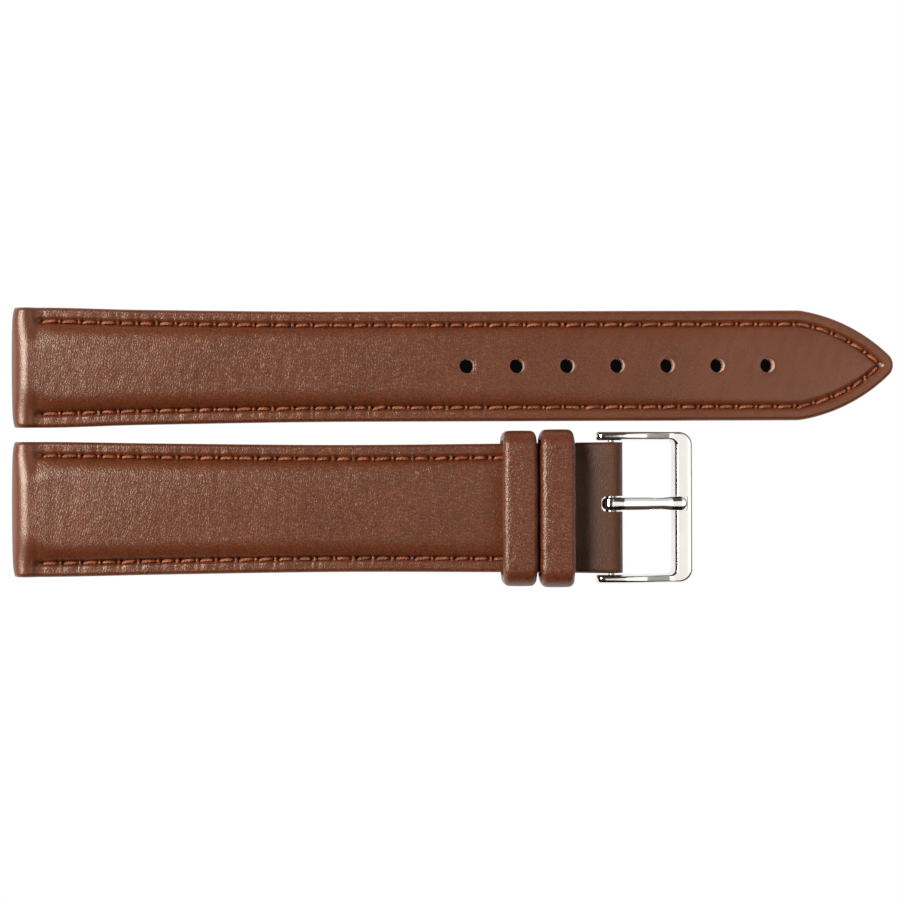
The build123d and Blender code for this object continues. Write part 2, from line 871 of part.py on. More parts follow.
with BuildPart() as buckle_frame:
    with BuildSketch(buckle_side) as frame_side:
        with BuildLine():
            Line((-arm_tail, arm_height / 2), (arm_shoulder, arm_height / 2))
            TangentArc((arm_shoulder, arm_height / 2), (front_x, front_top), tangent=(1, 0))
            Line((front_x, front_top), (frame_reach, front_top))
            Line((frame_reach, front_top), (frame_reach, -pivot.Z))
            Line((frame_reach, -pivot.Z), (front_x, -pivot.Z))
            TangentArc((0, -arm_height / 2), (front_x, -pivot.Z), tangent=(1, 0))
            Line((0, -arm_height / 2), (-arm_tail, -arm_height / 2))
            ThreePointArc(
                (-arm_tail, -arm_height / 2),
                (-arm_tail - arm_height / 2, 0),
                (-arm_tail, arm_height / 2),
            )
        make_face()
        feet = frame_side.vertices().filter_by(lambda v: abs(v.X - front_x) < arm_shoulder)
        fillet(feet, arm_foot_radius)
    extrude(amount=arm_inner + arm_width, both=True)
    with BuildSketch(buckle_plan) as frame_plan:
        with Locations((frame_reach, 0)):
            Rectangle(
                frame_reach + arm_tail + arm_height,
                frame_inner_width + 2 * arm_width,
                align=(Align.MAX, Align.CENTER),
            )
        fillet(frame_plan.vertices().group_by(Axis.X)[-1], frame_outer_corner_radius)
        with BuildSketch(mode=Mode.SUBTRACT) as frame_window:
            with Locations((front_x, 0)):
                Rectangle(
                    front_x + 2 * arm_height,
                    frame_inner_width,
                    align=(Align.MAX, Align.CENTER),
                )
            fillet(frame_window.vertices().group_by(Axis.X)[-1], frame_inner_corner_radius)
    extrude(amount=2 * arm_height + front_bar_height, both=True, mode=Mode.INTERSECT)
    rims = buckle_frame.edges().filter_by(Axis.Z, reverse=True)
    arm_seams = rims.filter_by(Axis.Y).filter_by(lambda e: e.length < arm_inner)
    fillet([rim for rim in rims if rim not in arm_seams], frame_rounding)
    add(front_bevel.part, mode=Mode.SUBTRACT)
    with BuildSketch(across_plane(0)):
        Circle(arm_hole_radius)
    extrude(amount=arm_inner + arm_hole_depth, both=True, mode=Mode.SUBTRACT)
    with BuildSketch(buckle_plan.offset(front_top - notch_depth)) as notch:
        with Locations((0, tongue_offset)):
            Rectangle(
                tongue_reach + notch_clearance,
                tongue_width + 2 * notch_clearance,
                align=(Align.MIN, Align.CENTER),
            )
        fillet(notch.vertices().group_by(Axis.X)[-1], tongue_tip_radius)
    extrude(amount=overrun, mode=Mode.SUBTRACT)

# Buckle tongue: a loop round the spring bar and a pin that rests in the notch
seat_height = front_top - notch_depth + tongue_seat_gap
with BuildPart() as buckle_tongue:
    with BuildSketch(buckle_side.offset(-tongue_offset)) as tongue_side:
        with BuildLine():
            Polyline(
                (0, tongue_loop_radius),
                (tongue_knee, tongue_loop_radius),
                (tongue_reach - tongue_seat_length, seat_height + tongue_tip_thickness),
                (tongue_reach, seat_height + tongue_tip_thickness),
                (tongue_reach, seat_height),
                (tongue_reach - tongue_seat_length, seat_height),
                (tongue_knee, tongue_loop_radius - tongue_thickness),
                (0, tongue_loop_radius - tongue_thickness),
                close=True,
            )
        make_face()
        knees = tongue_side.vertices().filter_by(
            lambda v: tongue_knee / 2 < v.X < tongue_reach - tongue_seat_length / 2
        )
        fillet(knees, tongue_bend_radius)
        Circle(tongue_loop_radius)
        underside = tongue_loop_radius - tongue_thickness
        joint = tongue_side.vertices().sort_by_distance((tongue_loop_radius, underside))[0]
        fillet(joint, tongue_joint_radius)
    extrude(amount=tongue_width / 2, both=True)
    tip_edges = buckle_tongue.edges().filter_by(Axis.Z).group_by(Axis.X)[-1]
    fillet(tip_edges, tongue_tip_radius)
    rims = buckle_tongue.edges().filter_by(Axis.Z, reverse=True)
    tongue_seams = rims.filter_by(Axis.Y).filter_by(lambda e: e.length > tongue_width / 2)
    fillet([rim for rim in rims if rim not in tongue_seams], tongue_rounding)
    with BuildSketch(across_plane(0)):
        Circle(bar_radius + tongue_bore_clearance)
    extrude(amount=short_end_width / 2, both=True, mode=Mode.SUBTRACT)

pieces = {
    "long_upper": long_upper,
    "long_padding": long_padding,
    "long_reinforcement": long_reinforcement,
    "long_lining": long_lining,
    "long_needle_stitches": long_needle_stitches,
    "long_bobbin_stitches": long_bobbin_stitches,
    "short_upper": short_upper,
    "short_padding": short_padding,
    "short_reinforcement": short_reinforcement,
    "short_lining": short_lining,
    "short_needle_stitches": short_needle_stitches,
    "short_bobbin_stitches": short_bobbin_stitches,
    "fixed_keeper_cover": fixed_keeper_cover.part,
    "fixed_keeper_lining": fixed_keeper_lining.part,
    "free_keeper_cover": free_keeper_cover.part,
    "free_keeper_lining": free_keeper_lining.part,
    "buckle_frame": buckle_frame.part,
    "buckle_tongue": buckle_tongue.part,
    "spring_bar_tube": spring_bar_tube.part,
    "spring_bar_plunger_left": spring_bar_plunger_left,
    "spring_bar_plunger_right": spring_bar_plunger_right,
    "spring_bar_spring": spring_bar_spring.part,
}
os.makedirs("parts", exist_ok=True)
for name, piece in pieces.items():
    piece.label = name
    export_step(piece, f"parts/{name}.step")
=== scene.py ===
import json
import math

import bmesh
import bpy
import numpy as np
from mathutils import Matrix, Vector


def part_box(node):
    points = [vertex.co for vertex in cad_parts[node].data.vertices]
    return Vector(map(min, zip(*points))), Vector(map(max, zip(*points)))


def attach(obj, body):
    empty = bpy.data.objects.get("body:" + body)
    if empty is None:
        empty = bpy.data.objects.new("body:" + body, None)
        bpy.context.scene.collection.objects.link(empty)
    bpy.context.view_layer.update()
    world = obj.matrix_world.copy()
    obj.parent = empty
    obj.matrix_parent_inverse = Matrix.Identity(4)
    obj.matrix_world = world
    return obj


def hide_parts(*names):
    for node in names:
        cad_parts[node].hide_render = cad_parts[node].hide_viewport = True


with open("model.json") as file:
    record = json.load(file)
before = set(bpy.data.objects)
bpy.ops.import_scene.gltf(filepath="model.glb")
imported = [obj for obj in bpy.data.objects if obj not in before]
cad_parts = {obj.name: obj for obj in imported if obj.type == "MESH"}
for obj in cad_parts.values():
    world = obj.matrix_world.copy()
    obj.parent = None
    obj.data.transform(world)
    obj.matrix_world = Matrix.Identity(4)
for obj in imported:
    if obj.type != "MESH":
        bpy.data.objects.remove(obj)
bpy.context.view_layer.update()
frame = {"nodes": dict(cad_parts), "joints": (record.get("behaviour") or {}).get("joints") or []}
print("frame loaded")

# All sizes below are in millimetres and become metres when something is made
mm = 0.001


def jointNamed(name):
    return next(joint for joint in frame["joints"] if joint["name"] == name)


# Where the two halves lie: their lug ends, their middles, and the short half's slight tilt
longLow, longHigh = [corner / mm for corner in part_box("long_upper")]
shortLow, shortHigh = [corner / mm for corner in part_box("short_upper")]
lugX = longLow.x
longY = (longLow.y + longHigh.y) / 2
shortY = (shortLow.y + shortHigh.y) / 2
keeperAxis = Vector(jointNamed("keeper_slide")["axis"]).normalized()
shortAlong = -keeperAxis
shortUp = Vector((-shortAlong.z, 0, shortAlong.x))


def placeLong(points):
    return points + np.array([lugX, longY, 0])


def placeShort(points):
    x, y, z = points[..., 0:1], points[..., 1:2], points[..., 2:3]
    placed = x * np.array(shortAlong) + y * np.array([0, 1, 0]) + z * np.array(shortUp)
    return placed + np.array([lugX, shortY, 0])


# Small helpers for numbers
def glide(x, stops):
    # a smooth curve through the stops, level at both ends
    xs, ys = np.array(stops, float).T
    steps = np.diff(ys) / np.diff(xs)
    slopes = np.zeros(len(xs))
    same = steps[:-1] * steps[1:] > 0
    slopes[1:-1][same] = 2 / (1 / steps[:-1][same] + 1 / steps[1:][same])
    x = np.clip(x, xs[0], xs[-1])
    i = np.clip(np.searchsorted(xs, x) - 1, 0, len(xs) - 2)
    wide = xs[i + 1] - xs[i]
    t = (x - xs[i]) / wide
    curve = ys[i] * (1 + 2 * t) * (1 - t) ** 2 + slopes[i] * wide * t * (1 - t) ** 2
    return curve + ys[i + 1] * t * t * (3 - 2 * t) + slopes[i + 1] * wide * t * t * (t - 1)


def ease(x, start, end):
    t = np.clip((x - start) / (end - start), 0, 1)
    return t * t * (3 - 2 * t)


def softMax(a, b, blend):
    h = np.clip(0.5 + (a - b) / (2 * blend), 0, 1)
    return b + (a - b) * h + blend * h * (1 - h)


def falloff(distance, width):
    return np.exp(-((distance / width) ** 2))


def wobble(x, y, size, seed):
    # slow, uneven waves of about one unit, the same every run
    chance = np.random.default_rng(seed)
    total = 0
    for turn in chance.uniform(0, math.tau, 7):
        wave = math.tau / (size * chance.uniform(0.6, 1.6))
        total = total + np.sin(wave * (x * math.cos(turn) + y * math.sin(turn)) + chance.uniform(0, math.tau))
    return total / 3


def linear(red, green, blue):
    # an sRGB colour as the linear colour that a shader takes
    parts = [part / 255 for part in (red, green, blue)]
    return [*(p / 12.92 if p < 0.04 else ((p + 0.055) / 1.055) ** 2.4 for p in parts), 1]


# Materials
def newMaterial(name):
    made = bpy.data.materials.new(name)
    made.use_nodes = True
    made.node_tree.nodes.clear()
    return made, made.node_tree


def addNode(tree, kind, values=(), **settings):
    node = tree.nodes.new(kind)
    for key, value in settings.items():
        setattr(node, key, value)
    for key, value in dict(values).items():
        if isinstance(value, bpy.types.NodeSocket):
            tree.links.new(value, node.inputs[key])
        else:
            node.inputs[key].default_value = value
    return node


def grey(level):
    return (level, level, level, 1)


def ramp(tree, factor, stops):
    # each stop is a place and a linear colour or grey level
    stops = list(stops)
    node = addNode(tree, "ShaderNodeValToRGB", {"Fac": factor})
    while len(node.color_ramp.elements) < len(stops):
        node.color_ramp.elements.new(0.5)
    for element, (place, colour) in zip(node.color_ramp.elements, stops):
        element.position = place
        element.color = grey(colour) if isinstance(colour, (int, float)) else colour
    return node.outputs["Color"]


def maths(tree, operation, first, second):
    return addNode(tree, "ShaderNodeMath", {0: first, 1: second}, operation=operation).outputs[0]


def vectorMaths(tree, operation, *values):
    return addNode(tree, "ShaderNodeVectorMath", dict(enumerate(values)), operation=operation)


def mapped(tree, value, low, high, toLow, toHigh):
    return addNode(tree, "ShaderNodeMapRange", {0: value, 1: low, 2: high, 3: toLow, 4: toHigh}).outputs[0]


def mixed(tree, factor, first, second, blend="MIX"):
    values = {0: factor, 6: first, 7: second}
    return addNode(tree, "ShaderNodeMix", values, data_type="RGBA", blend_type=blend).outputs[2]


def noise(tree, place, scale, detail, **more):
    return addNode(tree, "ShaderNodeTexNoise", {"Vector": place, "Scale": scale, "Detail": detail, **more})


def painted(tree, name):
    return addNode(tree, "ShaderNodeAttribute", attribute_name=name).outputs["Fac"]


def objectPlace(tree):
    return addNode(tree, "ShaderNodeTexCoord").outputs["Object"]


def finishShader(tree, kind, values, output="ShaderNodeOutputMaterial"):
    shader = addNode(tree, kind, values)
    addNode(tree, output, {"Surface": shader.outputs[0]})


# Calf leather: cells between creases, pebbles on them, and slower wrinkles
leatherFinish = {
    "tones": [(0.30, (108, 52, 27)), (0.52, (114, 56, 29)), (0.78, (120, 60, 32))],
    "toneScale": 170,
    "creaseScale": 3000,
    "creaseStretch": 0.75,
    "creaseBend": 0.6 * mm,
    "bendScale": 900,
    # darker creases: partly the grain's own tone, partly painted shade in them
    "creaseToneAndShade": [(0, 0.6), (0.14, 0.95), (0.3, 1.07)],
    "creaseProfile": [(0, 0), (0.12, 0.45), (0.28, 0.85), (0.5, 1)],
    "creaseHeight": 0.02 * mm,
    "pebbleScale": 6400,
    "pebbleTones": [(0.3, 0.8), (0.55, 1), (0.75, 1.18)],
    "pebbleHeight": 0.007 * mm,
    "pebbleRange": (0.3, 0.7),
    "wrinkleScale": 1700,
    "wrinkleHeight": 0.004 * mm,
    # the colour of the painted shade at the needle holes, the channel's foot and the fold
    "paintedShadeColour": (16, 6, 3),
    "dullness": 0.4,
    "roughness": (0.41, 0.27),
    "specular": 1.0,
    "glossTint": (1.0, 0.86, 0.72, 1),
}


def leatherMaterial(name, finish):
    made, tree = newMaterial(name)
    place = objectPlace(tree)
    stretch = {"Vector": place, "Scale": (1, finish["creaseStretch"], 1)}
    stretched = addNode(tree, "ShaderNodeMapping", stretch).outputs["Vector"]
    bend = noise(tree, place, finish["bendScale"], 2).outputs["Color"]
    bent = vectorMaths(tree, "MULTIPLY_ADD", bend, [finish["creaseBend"]] * 3, stretched).outputs[0]
    cells = {"Vector": bent, "Scale": finish["creaseScale"]}
    crease = addNode(tree, "ShaderNodeTexVoronoi", cells, feature="DISTANCE_TO_EDGE").outputs["Distance"]
    pebble = noise(tree, stretched, finish["pebbleScale"], 3, Roughness=0.6).outputs["Fac"]
    wrinkles = noise(tree, stretched, finish["wrinkleScale"], 3, Distortion=0.8).outputs["Fac"]
    tone = noise(tree, place, finish["toneScale"], 4, Roughness=0.55).outputs["Fac"]
    # the grain fades where the leather was stretched smooth
    kept = maths(tree, "SUBTRACT", 1.0, painted(tree, "grainLoss"))
    colour = ramp(tree, tone, [(at, linear(*shade)) for at, shade in finish["tones"]])
    colour = mixed(tree, 1.0, colour, ramp(tree, pebble, finish["pebbleTones"]), "MULTIPLY")
    # the creases darken the colour: the grain's tone and painted shade
    colour = mixed(tree, kept, colour, ramp(tree, crease, finish["creaseToneAndShade"]), "MULTIPLY")
    # painted shade at the needle holes, along the channel's foot and in the fold round the bar, which are
    # duller too
    shade = painted(tree, "paintedShade")
    colour = mixed(tree, shade, colour, linear(*finish["paintedShadeColour"]))
    rough = mapped(tree, pebble, *finish["pebbleRange"], *finish["roughness"])
    rough = maths(tree, "ADD", rough, maths(tree, "MULTIPLY", shade, finish["dullness"]))
    bump = {}
    for strength, height, relief in (
        (kept, finish["creaseHeight"], ramp(tree, crease, finish["creaseProfile"])),
        (kept, finish["pebbleHeight"], pebble),
        (1.0, finish["wrinkleHeight"], wrinkles),
    ):
        values = {"Strength": strength, "Distance": height, "Height": relief, **bump}
        bump = {"Normal": addNode(tree, "ShaderNodeBump", values).outputs[0]}
    finishShader(tree, "ShaderNodeBsdfPrincipled", {
        "Base Color": colour, "Roughness": rough, **bump,
        "Specular IOR Level": finish["specular"], "Specular Tint": finish["glossTint"],
    })
    return made


# Raw leather, lining and thread: a fibrous surface in two tones
fibreFinish = {
    "fine": {"detail": 5, "Roughness": 0.65},
    "coarser": 9,
    "stops": (0.36, 0.62),
}
# Steel with faint smudges, which are a little darker and less sharp
smudges = {
    "scale": 420,
    "darker": 8,
    "stops": (0.3, 0.8),
    "range": (0.35, 0.7),
    "blunter": 1.9,
}


def fibreMaterial(name, colours, scale, height, roughness):
    made, tree = newMaterial(name)
    place = objectPlace(tree)
    fibres = noise(tree, place, scale, **fibreFinish["fine"]).outputs["Fac"]
    tone = noise(tree, place, scale / fibreFinish["coarser"], 2).outputs["Fac"]
    both = maths(tree, "MULTIPLY", maths(tree, "ADD", fibres, tone), 0.5)
    colour = ramp(tree, both, [(at, linear(*shade)) for at, shade in zip(fibreFinish["stops"], colours)])
    bump = addNode(tree, "ShaderNodeBump", {"Strength": 1.0, "Distance": height, "Height": fibres})
    finishShader(tree, "ShaderNodeBsdfPrincipled", {
        "Base Color": colour, "Roughness": roughness, "Normal": bump.outputs[0],
    })
    return made


def steelMaterial(name, tint, roughness):
    made, tree = newMaterial(name)
    smudge = noise(tree, objectPlace(tree), smudges["scale"], 4).outputs["Fac"]
    tints = linear(*tint), linear(*(part - smudges["darker"] for part in tint))
    finishShader(tree, "ShaderNodeBsdfPrincipled", {
        "Base Color": ramp(tree, smudge, zip(smudges["stops"], tints)),
        "Metallic": 1.0,
        "Roughness": mapped(tree, smudge, *smudges["range"], roughness, roughness * smudges["blunter"]),
    })
    return made


strapLeather = leatherMaterial("strapLeather", leatherFinish)
keeperLeather = leatherMaterial("keeperLeather", {
    **leatherFinish,
    "tones": [(0.30, (112, 52, 26)), (0.52, (118, 56, 28)), (0.78, (124, 60, 31))],
    "creaseScale": 3100,
    "creaseToneAndShade": [(0, 0.5), (0.14, 0.95), (0.3, 1.07)],
    "creaseHeight": 0.022 * mm,
    "pebbleHeight": 0.008 * mm,
})
rawLeather = fibreMaterial("rawLeather", ((196, 152, 126), (238, 208, 186)), 4200, 0.03 * mm, 0.8)
liningLeather = fibreMaterial("liningLeather", ((128, 86, 60), (170, 122, 90)), 3200, 0.02 * mm, 0.75)
threadFibre = fibreMaterial("threadFibre", ((104, 50, 26), (200, 116, 72)), 9000, 0.02 * mm, 0.36)
polishedSteel = steelMaterial("polishedSteel", (240, 237, 232), 0.06)
barSteel = steelMaterial("barSteel", (205, 204, 202), 0.22)
print("materials made")


# Meshes
def makeObject(name, points, faces, materials):
    mesh = bpy.data.meshes.new(name)
    mesh.from_pydata((np.asarray(points) * mm).tolist(), [], faces)
    made = bpy.data.objects.new(name, mesh)
    bpy.context.scene.collection.objects.link(made)
    for material in materials:
        mesh.materials.append(material)
    return made


def turnFacesOut(mesh):
    work = bmesh.new()
    work.from_mesh(mesh)
    bmesh.ops.recalc_face_normals(work, faces=work.faces)
    work.to_mesh(mesh)
    work.free()


def smoothMesh(mesh, sharpAngle=40):
    mesh.shade_smooth()
    mesh.set_sharp_from_angle(angle=math.radians(sharpAngle))


def cleanMesh(made, sharpAngle=40):
    turnFacesOut(made.data)
    smoothMesh(made.data, sharpAngle)
    return made


def ringFaces(rings, around, closed=False):
    # quads between neighbouring rings of points
    count = rings if closed else rings - 1
    i, j = np.meshgrid(np.arange(count), np.arange(around), indexing="ij")
    after, beside = (i + 1) % rings, (j + 1) % around
    corners = [i * around + j, i * around + beside, after * around + beside, after * around + j]
    return np.stack(corners, -1).reshape(-1, 4).tolist()


def closedFaces(rings, around, start=0):
    # the quads of an open tube and one face at each of its ends
    faces = (np.array(ringFaces(rings, around)) + start).tolist()
    faces.append([start + j for j in range(around)][::-1])
    faces.append([start + (rings - 1) * around + j for j in range(around)])
    return faces


# The long half's outline, with its pointed tip made of arcs
longHalf = {
    "length": 117.8,
    "widths": [(0, 8.0), (4, 8.0), (17, 7.68), (46, 7.35), (118, 7.35)],
    "crown": [(0, 1), (4, 0.99), (17, 0.93), (46, 0.66), (60, 0.55), (80, 0.34), (100, 0.1), (118, 0.07)],
    "lugHeight": 3.2,
    "endHeight": 2.1,
    "shoulderX": 104.75,
    "shoulderRadius": 4.8,
    "shoulderTurn": math.radians(10),
    "tipRadius": 22.1,
    "noseRadius": 1.9,
    "holeCount": 7,
    "firstHole": 60.6,
    "holePitch": 6.7,
    "holeRadius": 0.975,
    "seamEnd": None,
    "grainLoss": [
        (0, 0.5), (2.2, 0.5), (4, 0.1), (50, 0.0), (75, 0.3), (90, 0.5), (105, 0.85), (120, 0.85),
    ],
    "seed": 11,
}
# The short half, which ends in the fold round the spring bar
shortHalf = {
    "length": 81.35,
    "widths": [(0, 9.0), (4, 9.0), (20, 8.74), (46, 8.46), (64, 8.56), (79.85, 8.7), (82, 8.7)],
    "crown": [(0, 1), (4, 0.99), (20, 0.93), (46, 0.66), (64, 0.46), (76, 0.1), (78, 0)],
    "lugHeight": 3.2,
    "endHeight": 2.3,
    "foldRadius": 1.5,
    "foldRise": 74.0,
    "foldBore": 0.8,
    "barX": 79.85,
    "seamEnd": 69.0,
    "grainLoss": [(0, 0.5), (2.2, 0.5), (4, 0.1), (60, 0.0), (70, 0.1), (78, 0.3), (90, 0.3)],
    "slotStart": 78.4,
    "slotWidth": 2.1,
    "slotCorner": 0.75,
    "slotOffset": 0.5,
    "seed": 23,
}
# What both halves share
build = {
    "rollRadius": 1.9,
    "rollBlend": 0.35,
    "rollReach": 2.2,
    "lugBore": 1.0,
    "edgeRadius": 0.55,
    "crownHeight": 1.2,
    "crownSide": 2.1,
    "crownShoulder": 2.5,
    "crownShare": 0.9,
    "crownRound": 0.75,
    "crownBow": 0.12,
    "bowReach": 6,
    "crownNose": 2.5,
    "crownNoseBack": 0.1,
    "lugEase": (1.5, 6.5),
    "lugSide": 0.9,
    "lugShoulder": 2.2,
    "seamInset": 1.85,
    "channelDepth": 0.27,
    "channelWidth": 0.4,
    "channelLead": (0.9, 0.1),
    "channelTail": (0.2, 0.6),
    "stitchStart": 3.9,
    "stitchPitch": 2.56,
    "needleDepth": 0.5,
    "needleRadius": 0.17,
    "pucker": 0.12,
    "puckerWidth": 0.42,
    "puckerOut": 0.95,
    "puckerIn": 0.55,
    "puckerFade": (15, 75),
    "puckerLeast": 0.35,
    "puckerUneven": (0.6, 5),
    "waves": [(0.008, 2.4, 0.5), (0.016, 11, 1)],
    "waveMargin": (0.3, 1.2),
    "waveStart": (1, 4),
    "waveFold": 1.2,
    "holeDent": 0.07,
    "holeDentWidth": 0.22,
    "cornerPull": 0.3,
    "endBulge": 0.12,
    "endReach": 3,
    "liningInset": 0.4,
    "liningThickness": 0.7,
    "liningSink": 0.02,
    "liningEdge": 0.12,
    "liningStart": 9.05,
    "liningGap": 0.05,
    "foldBlend": 0.4,
    "flapStart": 64.3,
    "edgeShare": 0.47,
    "stationStep": 0.16,
    "endTurns": (2, 88, 17),
    "crownColumns": 17,
    "sideRows": 4,
    "seamSteps": 6000,
}


def tipShape(half):
    # centres of the shoulder arc, the long tip arc and the rounded nose
    waist = half["widths"][-1][1]
    shoulder = np.array([half["shoulderX"], waist - half["shoulderRadius"]])
    turn = half["shoulderTurn"]
    back = half["tipRadius"] - half["shoulderRadius"]
    arc = shoulder - back * np.array([math.sin(turn), math.cos(turn)])
    reach = half["tipRadius"] - half["noseRadius"]
    nose = np.array([arc[0] + math.sqrt(reach**2 - arc[1] ** 2), 0])
    return shoulder, arc, nose


def edgeDistance(half, x, y):
    # how far a point lies in from the outline
    y = np.abs(y)
    straight = glide(x, half["widths"]) - y
    if "tipRadius" not in half:
        return straight
    shoulder, arc, nose = tipShape(half)
    inShoulder = np.where(
        y > shoulder[1], half["shoulderRadius"] - np.hypot(x - shoulder[0], y - shoulder[1]), straight
    )
    inArc = half["tipRadius"] - np.hypot(x - arc[0], y - arc[1])
    inNose = half["noseRadius"] - np.hypot(x - nose[0], y)
    noseTurn = math.atan2(-arc[1], nose[0] - arc[0])
    turned = np.arctan2(x - arc[0], y - arc[1])
    found = np.where(turned < half["shoulderTurn"], inShoulder, inArc)
    found = np.where(np.abs(np.arctan2(y, x - nose[0])) < noseTurn, inNose, found)
    return np.where(x < half["shoulderX"], straight, found)


def upArc(x, centre, radius):
    return centre[1] + np.sqrt(np.maximum(0, radius**2 - (x - centre[0]) ** 2))


def halfWidth(half, x, inset=0):
    # half the width at x, with the whole outline drawn in by an inset
    width = glide(x, half["widths"]) - inset
    if "tipRadius" not in half:
        return width
    shoulder, arc, nose = tipShape(half)
    shoulderEnd = shoulder[0] + (half["shoulderRadius"] - inset) * math.sin(half["shoulderTurn"])
    touch = nose + (half["noseRadius"] - inset) * (nose - arc) / np.hypot(*(nose - arc))
    onShoulder = upArc(x, shoulder, half["shoulderRadius"] - inset)
    onArc = upArc(x, arc, half["tipRadius"] - inset)
    onNose = upArc(x, nose, half["noseRadius"] - inset)
    width = np.where(x > shoulder[0], onShoulder, width)
    width = np.where(x > shoulderEnd, onArc, width)
    return np.where(x > touch[0], onNose, width)


def farEnd(half):
    if "tipRadius" in half:
        return tipShape(half)[2][0] + half["noseRadius"]
    return half["length"]


def stationsAlong(start, end, roundStart, roundEnd):
    # stations are even along the strap and crowd together where an end is rounded
    step = build["stationStep"]
    first, last = start + roundStart, end - roundEnd
    middle = np.linspace(first, last, max(2, round((last - first) / step) + 1))
    # the first and last rings stay just open, so that a face can close them
    turns = np.radians(np.linspace(*build["endTurns"]))
    head = start + roundStart * (1 - np.cos(turns[:-1])) if roundStart else []
    tail = end - roundEnd * (1 - np.sin(turns[1:])) if roundEnd else []
    return np.concatenate([head, middle, tail])


# Thread: three plies twisted together, which come up at one needle hole and go down at the next.
# The slants and the stitch length are each a middle value and its spread, the other pairs are limits
thread = {
    "plyRadius": 0.112,
    "twistRadius": 0.1,
    "twistPitch": 1.35,
    "sides": 7,
    "steps": 24,
    "length": (1.84, 0.13),
    "slant": (6, 3),
    "stray": 0.035,
    "rise": 0.17,
    "liftSpread": 0.025,
    "sway": 0.07,
    "swayBack": 0.05,
    "swayTurn": 0.62,
    "crestAt": -0.3,
    "crestDrop": 0.1,
    "endDrop": 0.5,
    "tightEnds": 0.45,
    "thinEnds": 0.25,
    "beadLength": (0.2, 0.36),
    "beadSlant": (20, 12),
    "beadLift": (-0.16, -0.02),
    "beadSteps": 8,
    "knotHeight": (0.3, 0.9),
    "knotLong": 0.23,
    "knotWide": 0.34,
    "knotReach": 0.9,
    "needleReach": 1.5,
    "needleGap": 0.01,
    "aimReach": 0.2,
    "aboveChannel": 0.05,
    "bobbinLevel": 0.42,
    "bobbinGroove": 0.26,
    "bobbinDent": 0.12,
    "bobbinDentRadius": 0.22,
}


# Seams
def seamPath(half):
    # the stitch line on the +Y side, from the lug end to the tip or the keeper
    inset = build["seamInset"]
    end = half["seamEnd"]
    if end is None:
        arc = tipShape(half)[1]
        end = arc[0] + math.sqrt((half["tipRadius"] - inset) ** 2 - arc[1] ** 2)
    x = np.linspace(build["stitchStart"], end, build["seamSteps"])
    y = halfWidth(half, x, min(inset, half.get("noseRadius", inset)))
    run = np.concatenate([[0], np.cumsum(np.hypot(np.diff(x), np.diff(y)))])
    return x, y, run


def stitchPlaces(half):
    # each stitch's middle, direction and side, and the needle holes between stitches
    x, y, run = seamPath(half)
    count = int(run[-1] / build["stitchPitch"])
    pitch = run[-1] / count
    chance = np.random.default_rng(half["seed"])
    places = []
    for side in (1, -1):
        for index in range(count):
            middle = (index + 0.5) * pitch + chance.normal(0, thread["stray"])
            ends = [middle - thread["aimReach"], middle + thread["aimReach"]]
            px, py = np.interp([middle, *ends], run, x), np.interp([middle, *ends], run, y)
            along = np.array([px[2] - px[1], side * (py[2] - py[1])])
            places.append({
                "at": np.array([px[0], side * py[0]]),
                "along": along / np.hypot(*along),
                "side": side,
                "length": thread["length"][0] + chance.normal(0, thread["length"][1]),
                "slant": chance.normal(*thread["slant"]),
                "lift": chance.normal(0, thread["liftSpread"]),
                "turn": chance.uniform(0, math.tau),
                "steps": thread["steps"],
            })
    return places


def beadPlaces(places, seed):
    # between two stitches the thread from below shows as a small bead
    chance = np.random.default_rng(seed)
    beads = []
    for before, after in zip(places, places[1:]):
        if before["side"] == after["side"]:
            beads.append({
                **before,
                "at": (before["at"] + after["at"]) / 2,
                "length": chance.uniform(*thread["beadLength"]),
                "slant": chance.normal(*thread["beadSlant"]),
                "lift": chance.uniform(*thread["beadLift"]),
                "turn": chance.uniform(0, math.tau),
                "steps": thread["beadSteps"],
            })
    return beads


def needleHoles(places):
    holes = []
    for place in places:
        reach = (place["length"] / 2 + thread["needleGap"]) * place["along"]
        holes += [place["at"] - reach, place["at"] + reach]
    return np.array(holes)


def knotPlaces(places, seed):
    # between two stitches the leather swells up round the buried knot
    chance = np.random.default_rng(seed)
    knots = []
    for before, after in zip(places, places[1:]):
        if before["side"] == after["side"]:
            knots.append([*((before["at"] + after["at"]) / 2), chance.uniform(*thread["knotHeight"])])
    return np.array(knots)


for half in (longHalf, shortHalf):
    half["stitches"] = stitchPlaces(half)
    half["needles"] = needleHoles(half["stitches"])
    half["knots"] = knotPlaces(half["stitches"], half["seed"] + 50)
    half["beads"] = beadPlaces(half["stitches"], half["seed"] + 70)
print("stitches placed", len(longHalf["stitches"]), len(shortHalf["stitches"]))


def placesNear(values, order, middle, reach):
    # which of the values lie within reach of a middle, found through their sorted order
    first, last = np.searchsorted(values, [middle - reach, middle + reach], sorter=order)
    return order[first:last]


def nearNeedles(half, x, y):
    # for each point: how close the nearest needle hole is, and how far along the seam from it
    flatX, flatY = x.ravel(), y.ravel()
    farOff = 99.0
    nearest, beside = np.full(flatX.shape, farOff), np.full(flatX.shape, farOff)
    order = np.argsort(flatX)
    for hx, hy in half["needles"]:
        some = placesNear(flatX, order, hx, thread["needleReach"])
        dx, dy = flatX[some] - hx, flatY[some] - hy
        away = np.hypot(dx, dy)
        closer = away < nearest[some]
        nearest[some[closer]] = away[closer]
        beside[some[closer]] = np.abs(dx[closer])
    return nearest.reshape(x.shape), beside.reshape(x.shape)


